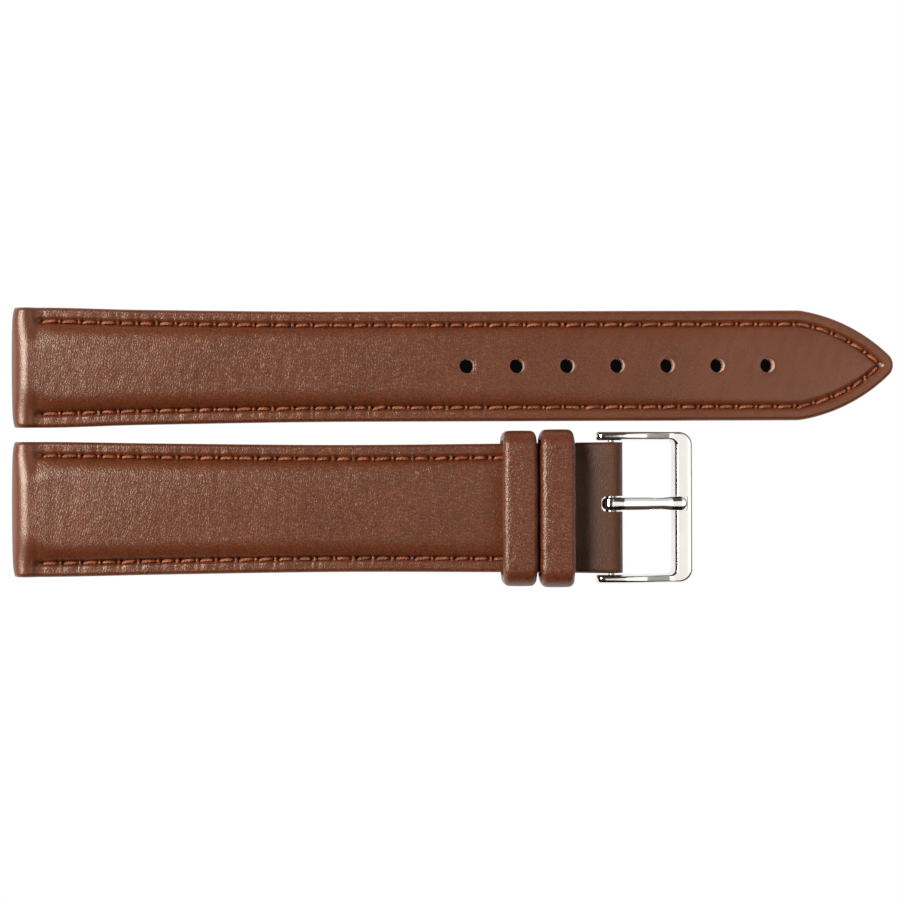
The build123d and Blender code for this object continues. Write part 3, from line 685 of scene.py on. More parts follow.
def knotSwell(half, x, y):
    # 1 at the middle of a knot and 0 away from it
    flatX, flatY = x.ravel(), y.ravel()
    order = np.argsort(flatX)
    swell = np.zeros(flatX.shape)
    for kx, ky, strength in half["knots"]:
        some = placesNear(flatX, order, kx, thread["knotReach"])
        away = np.hypot((flatX[some] - kx) / thread["knotLong"], (flatY[some] - ky) / thread["knotWide"])
        swell[some] = np.maximum(swell[some], strength * np.exp(-(away**2)))
    return swell.reshape(x.shape)


def flangeHeight(half, x):
    return half["lugHeight"] + (half["endHeight"] - half["lugHeight"]) * x / half["length"]


def formHeight(half, x, y):
    # the leather's upper face without its seam: flange, crown, rolled end and fold
    inside = edgeDistance(half, x, y)
    flange = flangeHeight(half, x)
    radius = build["rollRadius"]
    roll = radius + np.sqrt(np.maximum(0, radius**2 - (x - radius) ** 2))
    low = np.where(x < radius, roll, softMax(roll, flange, build["rollBlend"]))
    low = np.where(x > build["rollReach"] * radius, flange, low)
    nose = build["crownNose"]
    noseEnd = nose + build["crownNoseBack"]
    over = radius + np.sqrt(np.maximum(0, nose**2 - (noseEnd - x) ** 2))
    over = over - radius - nose + flange + build["crownHeight"]
    high = flange + build["crownHeight"] * glide(x, half["crown"])
    high = np.where(x < noseEnd, np.minimum(over, high), high)
    high = np.maximum(high, low)
    atLug = 1 - ease(x, *build["lugEase"])
    side = build["crownSide"] - build["lugSide"] * atLug
    rise = np.clip((inside - side) / (build["crownShoulder"] + build["lugShoulder"] * atLug), 0, 1)
    share = (1 - (1 - rise) ** 2) ** build["crownRound"]
    share = share + (rise * rise * (3 - 2 * rise) - share) * atLug
    bow = build["crownBow"] * np.clip((inside - build["crownSide"]) / build["bowReach"], 0, 1)
    height = low + (high - low) * share * (build["crownShare"] + bow)
    if "foldRadius" in half:
        radius = half["foldRadius"]
        toFold = ease(x, half["foldRise"], half["barX"] + build["foldBlend"])
        height = height + np.maximum(0, 2 * radius - height) * toFold
        fold = radius + np.sqrt(np.maximum(0, radius**2 - (x - half["barX"]) ** 2))
        height = np.where(x > half["barX"], np.minimum(fold, height), height)
    return height


def channelAt(inside):
    # 1 in the middle of the seam's channel and 0 beside it
    return np.exp(-(np.abs((inside - build["seamInset"]) / build["channelWidth"]) ** 3))


def topHeight(half, x, y):
    # the upper face with its channel, needle holes, puckers, slow waves and dented hole edges
    inside = edgeDistance(half, x, y)
    seamed = ease(x, *(build["stitchStart"] - lead for lead in build["channelLead"]))
    if half["seamEnd"]:
        before, after = build["channelTail"]
        seamed = seamed * (1 - ease(x, half["seamEnd"] - before, half["seamEnd"] + after))
    unswollen = 1 - np.minimum(knotSwell(half, x, y), 1)
    height = formHeight(half, x, y) - build["channelDepth"] * channelAt(inside) * seamed * unswollen
    nearest, beside = nearNeedles(half, x, y)
    height = height - build["needleDepth"] * falloff(nearest, build["needleRadius"])
    least = build["puckerLeast"]
    fade = least + (1 - least) * (1 - ease(x, *build["puckerFade"]))
    onFlange = falloff(np.maximum(build["seamInset"] - inside, 0), build["puckerOut"])
    onCrown = falloff(np.maximum(inside - build["seamInset"], 0), build["puckerIn"])
    pull = falloff(beside, build["puckerWidth"]) * onFlange * onCrown
    spread, size = build["puckerUneven"]
    uneven = 1 + spread * wobble(x, y, size, half["seed"] + 1)
    height = height - build["pucker"] * fade * pull * uneven * seamed
    waves = sum(
        depth * wobble(x, y * squeeze, size, half["seed"] + 2 + number)
        for number, (depth, size, squeeze) in enumerate(build["waves"])
    )
    calm = ease(x, *build["waveStart"])
    if "foldRadius" in half:
        calm = calm * (1 - ease(x, half["barX"], half["barX"] + build["waveFold"]))
    height = height + waves * ease(inside, *build["waveMargin"]) * calm
    for hole in holePlaces(half):
        away = np.hypot(x - hole, y) - half["holeRadius"]
        height = height - build["holeDent"] * falloff(np.maximum(away, 0), build["holeDentWidth"])
    return height


def bottomHeight(half, x):
    # the underside: flat, but rounded at the rolled end and at the fold
    radius = build["rollRadius"]
    height = np.where(x < radius, radius - np.sqrt(np.maximum(0, radius**2 - (x - radius) ** 2)), 0)
    if "foldRadius" in half:
        radius = half["foldRadius"]
        fold = radius - np.sqrt(np.maximum(0, radius**2 - (x - half["barX"]) ** 2))
        height = np.where(x > half["barX"], fold, height)
    return height


def holePlaces(half):
    return [half["firstHole"] + index * half["holePitch"] for index in range(half.get("holeCount", 0))]


def acrossColumns(edge, width, fullWidth):
    # places across the strap from one side to the other, crowded at the edge and the seam
    turns = np.radians([0, 15, 30, 45, 60, 75, 90])
    insets = [*(edge * (1 - np.cos(turns))), 0.7, 0.85, 1.0, 1.1, *np.arange(1.2, 2.65, 0.1)]
    inner = fullWidth - insets[-1]
    insets += [insets[-1] + inner * share for share in np.linspace(0, 1, build["crownColumns"])[1:]]
    shares = 1 - np.array(insets) / fullWidth
    shares = np.concatenate([-shares, shares[-2::-1]])
    return width[:, None] * shares[None, :]


def strapBody(name, half, place, start, end, inset, topAt, bottomAt, edge, roundStart, roundEnd, materials):
    # a closed skin round one layer of a half, wrapped station by station
    x = stationsAlong(start, end, roundStart, roundEnd)
    width = np.maximum(0, halfWidth(half, x, inset))
    y = acrossColumns(edge, width, halfWidth(half, np.array([5.0]))[0] - inset)
    x2 = np.repeat(x[:, None], y.shape[1], 1)
    inside = np.maximum(0, edgeDistance(half, x2, y) - inset)
    top, bottom = topAt(x2, y), bottomAt(x2, y)
    thick = np.maximum(0, top - bottom)
    corner = np.minimum(edge, build["edgeShare"] * thick)
    reach = np.minimum(inside, corner)
    drop = corner - np.sqrt(np.maximum(0, corner**2 - (corner - reach) ** 2))
    top, bottom = top - drop, bottom + drop
    # the rolled end bulges in the middle and gives way at its corners
    if roundStart:
        across = np.abs(y) / np.maximum(width[:, None], 0.01)
        pull = build["cornerPull"] * across**10 - build["endBulge"] * (1 - across**2)
        x2 = x2 + pull * np.clip(1 - x2 / build["endReach"], 0, 1) ** 2
    upper = np.stack([x2, y, top], -1)
    lower = np.stack([x2, y, bottom], -1)[:, ::-1]
    shares = np.linspace(0, 1, build["sideRows"] + 2)[1:-1, None]
    rightSide = upper[:, -1:] * (1 - shares) + lower[:, :1] * shares
    leftSide = lower[:, -1:] * (1 - shares) + upper[:, :1] * shares
    rings = np.concatenate([upper, rightSide, lower, leftSide], 1)
    faces = closedFaces(rings.shape[0], rings.shape[1])
    made = makeObject(name, place(rings.reshape(-1, 3)), faces, materials)
    return cleanMesh(made)


def recess(half, x, y, end):
    # the room for the lining under a half
    under = bottomHeight(half, x)
    laid = (x > build["liningStart"]) & (x < end) & (edgeDistance(half, x, y) > build["liningInset"])
    return np.where(laid, build["liningThickness"] - build["liningSink"], under)


# Cutting tools for holes, bores and slots: how far they reach and how finely they are rounded
tools = {
    "sides": 56,
    "across": 12,
    "punch": (-2, 7),
    "slot": (-3, 8),
    "slotSteps": 12,
    "pastEnd": 2,
}
# Painted shade on the leather: at the needle holes, along the channel's foot and in the fold round the bar
paintedShading = {
    "needle": 1.35,
    "needleRadius": 0.21,
    "channel": 0.55,
    "channelShift": 0.1,
    "channelWidth": 0.2,
    "channelStart": 0.5,
    "channelEnd": 0.3,
    "fold": 0.42,
    "foldRun": (8, 6),
    "lowest": 0.8,
}


def rod(name, start, end, radius, material):
    # a round cutting tool
    start, end = Vector(start), Vector(end)
    along = (end - start).normalized()
    side = along.orthogonal().normalized()
    other = along.cross(side)
    turns = np.linspace(0, math.tau, tools["sides"], endpoint=False)
    rings = []
    for centre in (start, end):
        rings.append([list(centre + radius * (math.cos(t) * side + math.sin(t) * other)) for t in turns])
    return makeObject(name, np.array(rings).reshape(-1, 3), closedFaces(2, len(turns)), [material])


def crossRod(name, place, station, height, radius):
    # the tool for a bore right across a half
    reach = tools["across"]
    ends = place(np.array([[station, -reach, height], [station, reach, height]], float))
    return rod(name, ends[0], ends[1], radius, rawLeather)


def holePunches():
    punches = []
    for hole in holePlaces(longHalf):
        ends = [(lugX + hole, longY, z) for z in tools["punch"]]
        punches.append(rod("holeTool", *ends, longHalf["holeRadius"], rawLeather))
    return punches


def slotTool(name, mouth, end, width, corner, middle, steps, levels, place, material):
    # an upright tool for a slot that is open at its mouth and has rounded corners at its end
    inward = math.copysign(corner, mouth - end)
    turns = np.linspace(0, math.pi / 2, steps)
    side = [(mouth, width / 2)]
    side += [(end + inward * (1 - math.sin(t)), width / 2 - corner + corner * math.cos(t)) for t in turns]
    plan = np.array(side + [(x, -y) for x, y in side[::-1]]) + np.array([0, middle])
    rings = [np.column_stack([plan, np.full(len(plan), z)]) for z in levels]
    return makeObject(name, place(np.concatenate(rings)), closedFaces(2, len(plan)), [material])


def cut(made, cutters, sharpAngle=40):
    # takes each tool's shape out of a piece and removes the tool
    for tool in cutters:
        turnFacesOut(tool.data)
        cutter = made.modifiers.new("cut", "BOOLEAN")
        cutter.operation = "DIFFERENCE"
        cutter.solver = "MANIFOLD"
        cutter.material_mode = "TRANSFER"
        cutter.object = tool
        settled = bpy.context.evaluated_depsgraph_get()
        mesh = bpy.data.meshes.new_from_object(made.evaluated_get(settled))
        made.modifiers.clear()
        made.data = mesh
        bpy.data.objects.remove(tool)
    smoothMesh(made.data, sharpAngle)


def paint(made, name, values):
    # one number for each point of a mesh, which its material reads
    attribute = made.data.attributes.new(name, "FLOAT", "POINT")
    attribute.data.foreach_set("value", np.asarray(values, dtype=np.float32))


# paints shade into the leather's colour at the needle holes, along the channel's foot and in the fold, and
# how much grain is kept
def paintSeamAndFoldShade(made, half, toLocal):
    points = np.zeros(len(made.data.vertices) * 3)
    made.data.vertices.foreach_get("co", points)
    x, y, z = toLocal(points.reshape(-1, 3) / mm).T
    nearest = nearNeedles(half, x, y)[0]
    needle = paintedShading["needle"] * falloff(nearest, paintedShading["needleRadius"])
    foot = edgeDistance(half, x, y) - build["seamInset"] - paintedShading["channelShift"]
    channel = falloff(foot, paintedShading["channelWidth"])
    channel = channel * ease(x, build["stitchStart"] - paintedShading["channelStart"], build["stitchStart"])
    if half["seamEnd"]:
        channel = channel * (x < half["seamEnd"] + paintedShading["channelEnd"])
    channel = channel * (1 - np.minimum(knotSwell(half, x, y), 1))
    shade = np.clip(np.maximum(needle, paintedShading["channel"] * channel), 0, 1)
    # the fold round the bar gets painted shade too
    if "foldRadius" in half:
        folded = ease(x, *(half["barX"] - run for run in paintedShading["foldRun"]))
        shade = np.maximum(shade, paintedShading["fold"] * folded)
    paint(made, "paintedShade", np.where(z > paintedShading["lowest"], shade, 0))
    paint(made, "grainLoss", glide(x, half["grainLoss"]))


def fromLong(points):
    return points - np.array([lugX, longY, 0])


def fromShort(points):
    moved = points - np.array([lugX, shortY, 0])
    return np.stack([moved @ np.array(shortAlong), moved[:, 1], moved @ np.array(shortUp)], -1)


longEnd = farEnd(longHalf)
longLeather = strapBody(
    "longLeather", longHalf, placeLong, 0, longEnd, 0, lambda x, y: topHeight(longHalf, x, y),
    lambda x, y: recess(longHalf, x, y, longEnd), build["edgeRadius"],
    build["rollRadius"], longHalf["noseRadius"], [strapLeather, rawLeather],
)
cut(longLeather, [
    *holePunches(),
    crossRod("lugTool", placeLong, build["rollRadius"], build["rollRadius"], build["lugBore"]),
])
paintSeamAndFoldShade(longLeather, longHalf, fromLong)

shortLeather = strapBody(
    "shortLeather", shortHalf, placeShort, 0, shortHalf["length"], 0, lambda x, y: topHeight(shortHalf, x, y),
    lambda x, y: recess(shortHalf, x, y, build["flapStart"]), build["edgeRadius"],
    build["rollRadius"], shortHalf["foldRadius"], [strapLeather, rawLeather],
)
cut(shortLeather, [
    crossRod("lugTool", placeShort, build["rollRadius"], build["rollRadius"], build["lugBore"]),
    crossRod("barTool", placeShort, shortHalf["barX"], shortHalf["foldRadius"], shortHalf["foldBore"]),
    slotTool(
        "slotTool", shortHalf["length"] + tools["pastEnd"], shortHalf["slotStart"], shortHalf["slotWidth"],
        shortHalf["slotCorner"], shortHalf["slotOffset"], tools["slotSteps"], tools["slot"], placeShort,
        strapLeather,
    ),
])
paintSeamAndFoldShade(shortLeather, shortHalf, fromShort)
print("leather halves made", len(longLeather.data.vertices), len(shortLeather.data.vertices))


# The linings, each with the bobbin seam's channel in its underside
def liningUnder(half, x, y):
    nearest = nearNeedles(half, x, y)[0]
    groove = thread["bobbinGroove"] * channelAt(edgeDistance(half, x, y))
    dents = thread["bobbinDent"] * falloff(nearest, thread["bobbinDentRadius"])
    return np.where(x < (half["seamEnd"] or longEnd), groove + dents, 0)


def levelAt(height):
    return lambda x, y: np.full(x.shape, height)


liningTop = levelAt(build["liningThickness"] - build["liningSink"])
longLining = strapBody(
    "longLining", longHalf, placeLong, build["liningStart"], longEnd - build["liningInset"],
    build["liningInset"], liningTop, lambda x, y: liningUnder(longHalf, x, y), build["liningEdge"],
    0, longHalf["noseRadius"] - build["liningInset"], [liningLeather, rawLeather],
)
cut(longLining, holePunches())
shortLining = strapBody(
    "shortLining", shortHalf, placeShort, build["liningStart"], build["flapStart"] - build["liningGap"],
    build["liningInset"], liningTop, lambda x, y: liningUnder(shortHalf, x, y), build["liningEdge"],
    0, 0, [liningLeather, rawLeather],
)
print("linings made")


def threadRow(name, stitches, place, surfaceAt, facing):
    points, faces = [], []
    sides, start = thread["sides"], 0
    for stitch in stitches:
        steps = stitch["steps"]
        share = np.linspace(-1, 1, steps)
        slant = math.radians(stitch["slant"])
        # the slant is the same in the picture on both rows
        x, y = stitch["along"]
        turned = np.array([
            x * math.cos(slant) - y * math.sin(slant), x * math.sin(slant) + y * math.cos(slant),
        ])
        across = np.array([-turned[1], turned[0]])
        run = share * stitch["length"] / 2
        # each stitch leaves its hole low on the left, crests early and sinks to the right
        sway = thread["sway"] * np.sin(math.pi * (share + 1) * thread["swayTurn"]) - thread["swayBack"]
        centre = stitch["at"] + run[:, None] * turned + sway[:, None] * np.array([0, 1])
        crestAt = thread["crestAt"]
        crest = (share - crestAt) / np.where(share < crestAt, 1 + crestAt, 1 - crestAt)
        drop = thread["crestDrop"] * crest**2 + thread["endDrop"] * np.abs(crest) ** 6
        arch = thread["rise"] + stitch["lift"] - drop
        height = surfaceAt(centre[:, 0], centre[:, 1]) + facing * arch
        tight = thread["twistRadius"] * (1 - thread["tightEnds"] * np.abs(share) ** 3)
        thin = thread["plyRadius"] * (1 - thread["thinEnds"] * np.abs(share) ** 4)
        for ply in range(3):
            turn = stitch["turn"] + ply * math.tau / 3 + math.tau * run / thread["twistPitch"]
            side = tight * np.sin(turn)
            line = np.column_stack([centre + side[:, None] * across, height + tight * np.cos(turn)])
            points.append(place(tube(line, thin, sides).reshape(-1, 3)))
            faces += closedFaces(steps, sides, start)
            start += steps * sides
    made = makeObject(name, np.concatenate(points), faces, [threadFibre])
    return cleanMesh(made, sharpAngle=80)


def tube(line, radius, sides):
    # rings of points round a line, kept level so that they don't twist
    along = np.gradient(line, axis=0)
    along /= np.linalg.norm(along, axis=1)[:, None]
    across = np.cross(along, [0, 0, 1])
    across /= np.linalg.norm(across, axis=1)[:, None]
    up = np.cross(across, along)
    turns = np.linspace(0, math.tau, sides, endpoint=False)
    spread = np.cos(turns)[None, :, None] * across[:, None] + np.sin(turns)[None, :, None] * up[:, None]
    return line[:, None] + np.asarray(radius)[:, None, None] * spread


def channelFloor(half):
    # the height that the thread lies on
    lift = thread["aboveChannel"] - build["channelDepth"]
    return lambda x, y: formHeight(half, x, y) + lift


threadUnder = levelAt(thread["bobbinLevel"])
longNeedleThread = threadRow(
    "longNeedleThread", longHalf["stitches"] + longHalf["beads"], placeLong, channelFloor(longHalf), 1
)
shortNeedleThread = threadRow(
    "shortNeedleThread", shortHalf["stitches"] + shortHalf["beads"], placeShort, channelFloor(shortHalf), 1
)
longBobbinThread = threadRow("longBobbinThread", longHalf["stitches"], placeLong, threadUnder, -1)
shortBobbinThread = threadRow("shortBobbinThread", shortHalf["stitches"], placeShort, threadUnder, -1)
print("thread made")


# Keepers: a padded band bent into a ring, with its lining let into the inside. The free one is a closed
# ring, thinner under the strap. The fixed one's two ends are bent in and tucked into the strap's side
keeper = {
    "length": 4.6,
    "wall": 1.2,
    "lowWall": 0.8,
    "lining": 0.45,
    "liningSink": 0.02,
    "edge": 0.72,
    "lowEdge": 0.3,
    "liningEdge": 0.5,
    "liningRound": 0.05,
    "liningFoot": 0.4,
    "innerHeight": 5.3,
    "corner": 1.0,
    "freeX": 65.1,
    "freeWidth": 17.8,
    "freeLow": -0.1,
    "freeLowCorner": 0.5,
    "fixedX": 70.05,
    "fixedWidth": 18.1,
    "fixedLow": 1.28,
    "fixedLowCorner": 0.35,
    "fixedReach": 5.6,
    "tuckedShare": 0.48,
    "tuckedRise": (1.2, 2.6),
    "liningFrom": 1.5,
    "narrowing": 0.05,
    "legWidth": 1.4,
    "puff": 0.16,
    "puffFrom": 0.55,
    "unevenness": 0.028,
    "unevenSize": 3.2,
    "unevenSqueeze": 1.5,
    "spacing": 0.12,
    "seed": 5,
}


def alongCorners(corners, closed):
    # even points on a line with rounded corners, each given as (y, z, radius)
    ring = [corners[-1], *corners, corners[0]] if closed else corners
    points = [] if closed else [np.array(corners[0][:2], float)]
    for before, (cy, cz, radius), after in zip(ring, ring[1:], ring[2:]):
        here = np.array([cy, cz], float)
        toBefore, toAfter = np.array(before[:2]) - here, np.array(after[:2]) - here
        toBefore, toAfter = toBefore / np.hypot(*toBefore), toAfter / np.hypot(*toAfter)
        centre = here + (toBefore + toAfter) * radius
        for turn in np.linspace(0, math.pi / 2, 9):
            points.append(centre - radius * (math.cos(turn) * toAfter + math.sin(turn) * toBefore))
    points.append(points[0] if closed else np.array(corners[-1][:2], float))
    points = np.array(points)
    run = np.concatenate([[0], np.cumsum(np.hypot(*np.diff(points, axis=0).T))])
    count = round(run[-1] / keeper["spacing"]) + (0 if closed else 1)
    even = np.linspace(0, run[-1], count, endpoint=not closed)
    return np.column_stack([np.interp(even, run, points[:, 0]), np.interp(even, run, points[:, 1])])


def bandSection(length, thickness, edge, puff, recessDepth, recessMargin):
    # the band cut across: puffed outside, rounded edges and a recess for the lining inside
    half = length / 2
    turns = np.radians(np.arange(0, 91, 15))
    outer = [(half - edge + edge * math.sin(t), thickness - edge + edge * math.cos(t)) for t in turns]
    low = keeper["lowEdge"]
    inner = [(half - low + low * math.cos(t), low - low * math.sin(t)) for t in turns]
    inner.append((half - recessMargin, 0))
    if recessDepth:
        inner.append((half - recessMargin, recessDepth))
    right = outer + inner
    flat = [(share * (half - edge), thickness) for share in np.linspace(-1, 1, 17)[1:-1]]
    base = [(share * (half - recessMargin), recessDepth) for share in np.linspace(1, -1, 9)[1:-1]]
    left = [(-x, z) for x, z in right[::-1]]
    section = np.array(flat + right + base + left)
    bulge = puff * (1 - (np.clip(section[:, 0] / half, -1, 1)) ** 4)
    section[:, 1] += bulge * (section[:, 1] > thickness * keeper["puffFrom"])
    return section


def bandAround(name, line, section, station, thicknessShare, width, material, seed, closed):
    # the section is carried along the line, with its own share of thickness and width at each point
    along = np.roll(line, -1, 0) - np.roll(line, 1, 0) if closed else np.gradient(line, axis=0)
    along /= np.hypot(*along.T)[:, None]
    outward = np.column_stack([along[:, 1], -along[:, 0]])
    if np.sum((line - line.mean(0)) * outward) < 0:
        outward = -outward
    rings = []
    for point, out, thick, wide in zip(line, outward, thicknessShare, width):
        depth = section[:, 1] * thick
        rings.append(np.column_stack([station + section[:, 0] * wide, point + depth[:, None] * out]))
    flat = np.array(rings).reshape(-1, 3)
    soft = wobble(flat[:, 0] * keeper["unevenSqueeze"], flat[:, 1] + flat[:, 2], keeper["unevenSize"], seed)
    flat[:, 0] += keeper["unevenness"] * soft
    faces = ringFaces(len(line), len(section), True) if closed else closedFaces(len(line), len(section))
    made = makeObject(name, placeShort(flat), faces, [material])
    return cleanMesh(made, sharpAngle=60)


def legNarrowing(line, half):
    # the band is a little narrower on its two upright legs
    return 1 - keeper["narrowing"] * ease(np.abs(line[:, 0]), half - keeper["legWidth"], half)


coverSection = bandSection(
    keeper["length"], keeper["wall"], keeper["edge"], keeper["puff"], keeper["lining"] - keeper["liningSink"],
    keeper["liningEdge"],
)
liningSection = bandSection(
    keeper["length"] - 2 * keeper["liningEdge"], keeper["lining"], keeper["liningRound"], 0, 0,
    keeper["liningFoot"],
)

top, topCorner = keeper["innerHeight"], keeper["corner"]
freeHalf = keeper["freeWidth"] / 2
freeLow, freeCorner = keeper["freeLow"], keeper["freeLowCorner"]
freeLine = alongCorners([
    (freeHalf, freeLow, freeCorner), (freeHalf, top, topCorner),
    (-freeHalf, top, topCorner), (-freeHalf, freeLow, freeCorner),
], True)
# the step to the thinner wall under the strap is smoothed over its neighbours on the ring
freeDepth = np.where(freeLine[:, 1] < freeCorner, keeper["lowWall"] / keeper["wall"], 1.0)
freeDepth = np.concatenate([freeDepth[-6:], freeDepth, freeDepth[:6]])
freeDepth = np.convolve(freeDepth, np.ones(13) / 13, "valid")
freeWidth = legNarrowing(freeLine, freeHalf)
freeMiddle = keeper["freeX"] + keeper["length"] / 2
freeKeeperCover = bandAround(
    "freeKeeperCover", freeLine, coverSection, freeMiddle, freeDepth, freeWidth, keeperLeather,
    keeper["seed"], True,
)
freeKeeperLining = bandAround(
    "freeKeeperLining", freeLine, liningSection, freeMiddle, np.ones(len(freeLine)), freeWidth, liningLeather,
    keeper["seed"] + 1, True,
)

fixedHalf = keeper["fixedWidth"] / 2
fixedLow, fixedCorner = keeper["fixedLow"], keeper["fixedLowCorner"]
fixedLine = alongCorners([
    (keeper["fixedReach"], fixedLow, 0), (fixedHalf, fixedLow, fixedCorner), (fixedHalf, top, topCorner),
    (-fixedHalf, top, topCorner), (-fixedHalf, fixedLow, fixedCorner), (-keeper["fixedReach"], fixedLow, 0),
], False)
tucked = keeper["tuckedShare"]
fixedDepth = tucked + (1 - tucked) * ease(fixedLine[:, 1], *keeper["tuckedRise"])
fixedWidth = legNarrowing(fixedLine, fixedHalf)
fixedMiddle = keeper["fixedX"] + keeper["length"] / 2
fixedKeeperCover = bandAround(
    "fixedKeeperCover", fixedLine, coverSection, fixedMiddle, fixedDepth, fixedWidth, keeperLeather,
    keeper["seed"] + 2, False,
)
shown = fixedLine[:, 1] > keeper["liningFrom"]
fixedKeeperLining = bandAround(
    "fixedKeeperLining", fixedLine[shown], liningSection, fixedMiddle, np.ones(shown.sum()),
    fixedWidth[shown], liningLeather, keeper["seed"] + 3, False,
)
print("keepers made")


# The frame is a round rod on three sides of the window, which widens into the flat front bar
buckleFrame = {
    "tail": 18.74,
    "inside": 29.3,
    "outside": 31.95,
    "windowHalf": 8.95,
    "armWidth": 1.13,
    "innerCorner": 0.75,
    "outerCorner": 1.8,
    "middle": [
        (18.7, 2.604), (21.9, 2.6), (23.5, 2.47), (25, 2.25), (26.5, 1.86), (28, 1.32), (29.4, 1.05),
        (32, 1.05),
    ],
    "halfHeight": [(18.7, 1.19), (22, 1.2), (26, 1.17), (29.4, 1.045), (32, 1.045)],
    "armProfile": {"inner": 0.48, "innerDrop": 0.62, "slope": 0, "outer": 0.48, "outerDrop": 0.55},
    "barProfile": {"inner": 0.66, "innerDrop": 1.25, "slope": 25, "outer": 0.42, "outerDrop": 0.42},
    "mostDrop": 1.9,
    "faceCrown": 0.06,
    "faceShares": (0.03, 0.2, 0.4, 0.6, 0.8, 0.97),
    "lowEdge": 0.25,
    "armSteps": 60,
    "cornerSteps": 25,
    "barSteps": 30,
    "cornerStart": 0.93,
    "cornerBlend": 0.25,
    "tailRoundUp": 1.0,
    "tailRoundAcross": 0.45,
    "tailLeast": 0.0004,
    "sharpAngle": 24,
    "notch": (27.5, 31.25),
    "notchWidth": 2.0,
    "notchCorner": 0.35,
    "notchSteps": 8,
    "notchLevels": (1.86, 5),
}


def frameSection(width, height, front):
    # the rod or bar cut across: (how far out from the window, height), the same number of points each time
    sizes = {
        key: value + (buckleFrame["barProfile"][key] - value) * front
        for key, value in buckleFrame["armProfile"].items()
    }
    slope = math.radians(sizes["slope"])
    turns = np.linspace(math.pi / 2, slope, 13)
    rise = np.cos(turns) / math.cos(slope)
    across = (1 - np.sin(turns)) / (1 - math.sin(slope))
    innerDrop = min(sizes["innerDrop"], buckleFrame["mostDrop"] * height)
    points = [(sizes["inner"] * a, height - innerDrop * (1 - r)) for a, r in zip(across, rise)]
    flatEnd = width - sizes["outer"]
    crown = buckleFrame["faceCrown"] * front
    points += [
        (sizes["inner"] + (flatEnd - sizes["inner"]) * share, height - crown * share**2)
        for share in buckleFrame["faceShares"]
    ]
    points += [
        (flatEnd + sizes["outer"] * math.sin(t), height - crown - sizes["outerDrop"] * (1 - math.cos(t)))
        for t in np.linspace(0, math.pi / 2, 9)
    ]
    low = buckleFrame["lowEdge"]
    turns = np.linspace(0, math.pi / 2, 5)
    points += [(width - low * (1 - math.cos(t)), -height + low * (1 - math.sin(t))) for t in turns]
    points += [(low * (1 - math.sin(t)), -height + low * (1 - math.cos(t))) for t in turns]
    return np.array(points)


def framePairs():
    # facing points on the inner and outer outline, and how much of a flat bar the rod is there
    side, inCorner, outCorner = [buckleFrame[key] for key in ("windowHalf", "innerCorner", "outerCorner")]
    tail, inX, outX = [buckleFrame[key] for key in ("tail", "inside", "outside")]
    outY = side + buckleFrame["armWidth"]
    blend = buckleFrame["cornerBlend"]
    pairs = []
    for share in np.linspace(0, 1, buckleFrame["armSteps"]):
        inner = tail + share * (inX - inCorner - tail)
        outer = tail + share * (outX - outCorner - tail)
        pairs.append(((inner, side), (outer, outY), ease(share, buckleFrame["cornerStart"], 1.0) * blend))
    for share in np.linspace(0, 1, buckleFrame["cornerSteps"])[1:]:
        turn = math.pi / 2 * (1 - share)
        inner = (inX - inCorner * (1 - math.cos(turn)), side - inCorner * (1 - math.sin(turn)))
        outer = (outX - outCorner * (1 - math.cos(turn)), outY - outCorner * (1 - math.sin(turn)))
        pairs.append((inner, outer, blend + (1 - blend) * ease(share, 0.1, 0.9)))
    for share in np.linspace(0, 1, buckleFrame["barSteps"])[1:]:
        pairs.append(((inX, (side - inCorner) * (1 - share)), (outX, (outY - outCorner) * (1 - share)), 1))
    return pairs + [((a[0], -a[1]), (b[0], -b[1]), front) for a, b, front in pairs[-2::-1]]


def roundedEnd(away, radius, least):
    # 1 along a piece, and a quarter circle down to almost nothing at its end
    return math.sqrt(max(least, 1 - (1 - min(1, away / radius)) ** 2))


def ringsObject(name, rings, material):
    rings = np.array(rings)
    return makeObject(name, rings.reshape(-1, 3), closedFaces(rings.shape[0], rings.shape[1]), [material])


def makeFrame():
    rings = []
    for inner, outer, front in framePairs():
        inner, outer = np.array(inner), np.array(outer)
        width = np.hypot(*(outer - inner))
        # the tails are rounded off, in plan and from the side
        away = min(inner[0], outer[0]) - buckleFrame["tail"]
        upShare = roundedEnd(away, buckleFrame["tailRoundUp"], buckleFrame["tailLeast"])
        acrossShare = roundedEnd(away, buckleFrame["tailRoundAcross"], buckleFrame["tailLeast"])
        section = frameSection(width, float(glide(inner[0], buckleFrame["halfHeight"])), front)
        level = (section[:, 0] - width / 2) * acrossShare + width / 2
        x = inner[0] + (outer[0] - inner[0]) * level / width
        y = inner[1] + (outer[1] - inner[1]) * level / width
        z = section[:, 1] * upShare + glide(x, buckleFrame["middle"])
        rings.append(np.column_stack([x, y + shortY, z]))
    made = cleanMesh(ringsObject("buckleFrame", rings, polishedSteel), buckleFrame["sharpAngle"])
    # the notch in the front bar, where the tongue's tip rests
    notch = slotTool(
        "notchTool", *buckleFrame["notch"], buckleFrame["notchWidth"], buckleFrame["notchCorner"],
        buckleTongue["middleY"], buckleFrame["notchSteps"], buckleFrame["notchLevels"], np.array,
        polishedSteel,
    )
    cut(made, [notch], buckleFrame["sharpAngle"])
    return made


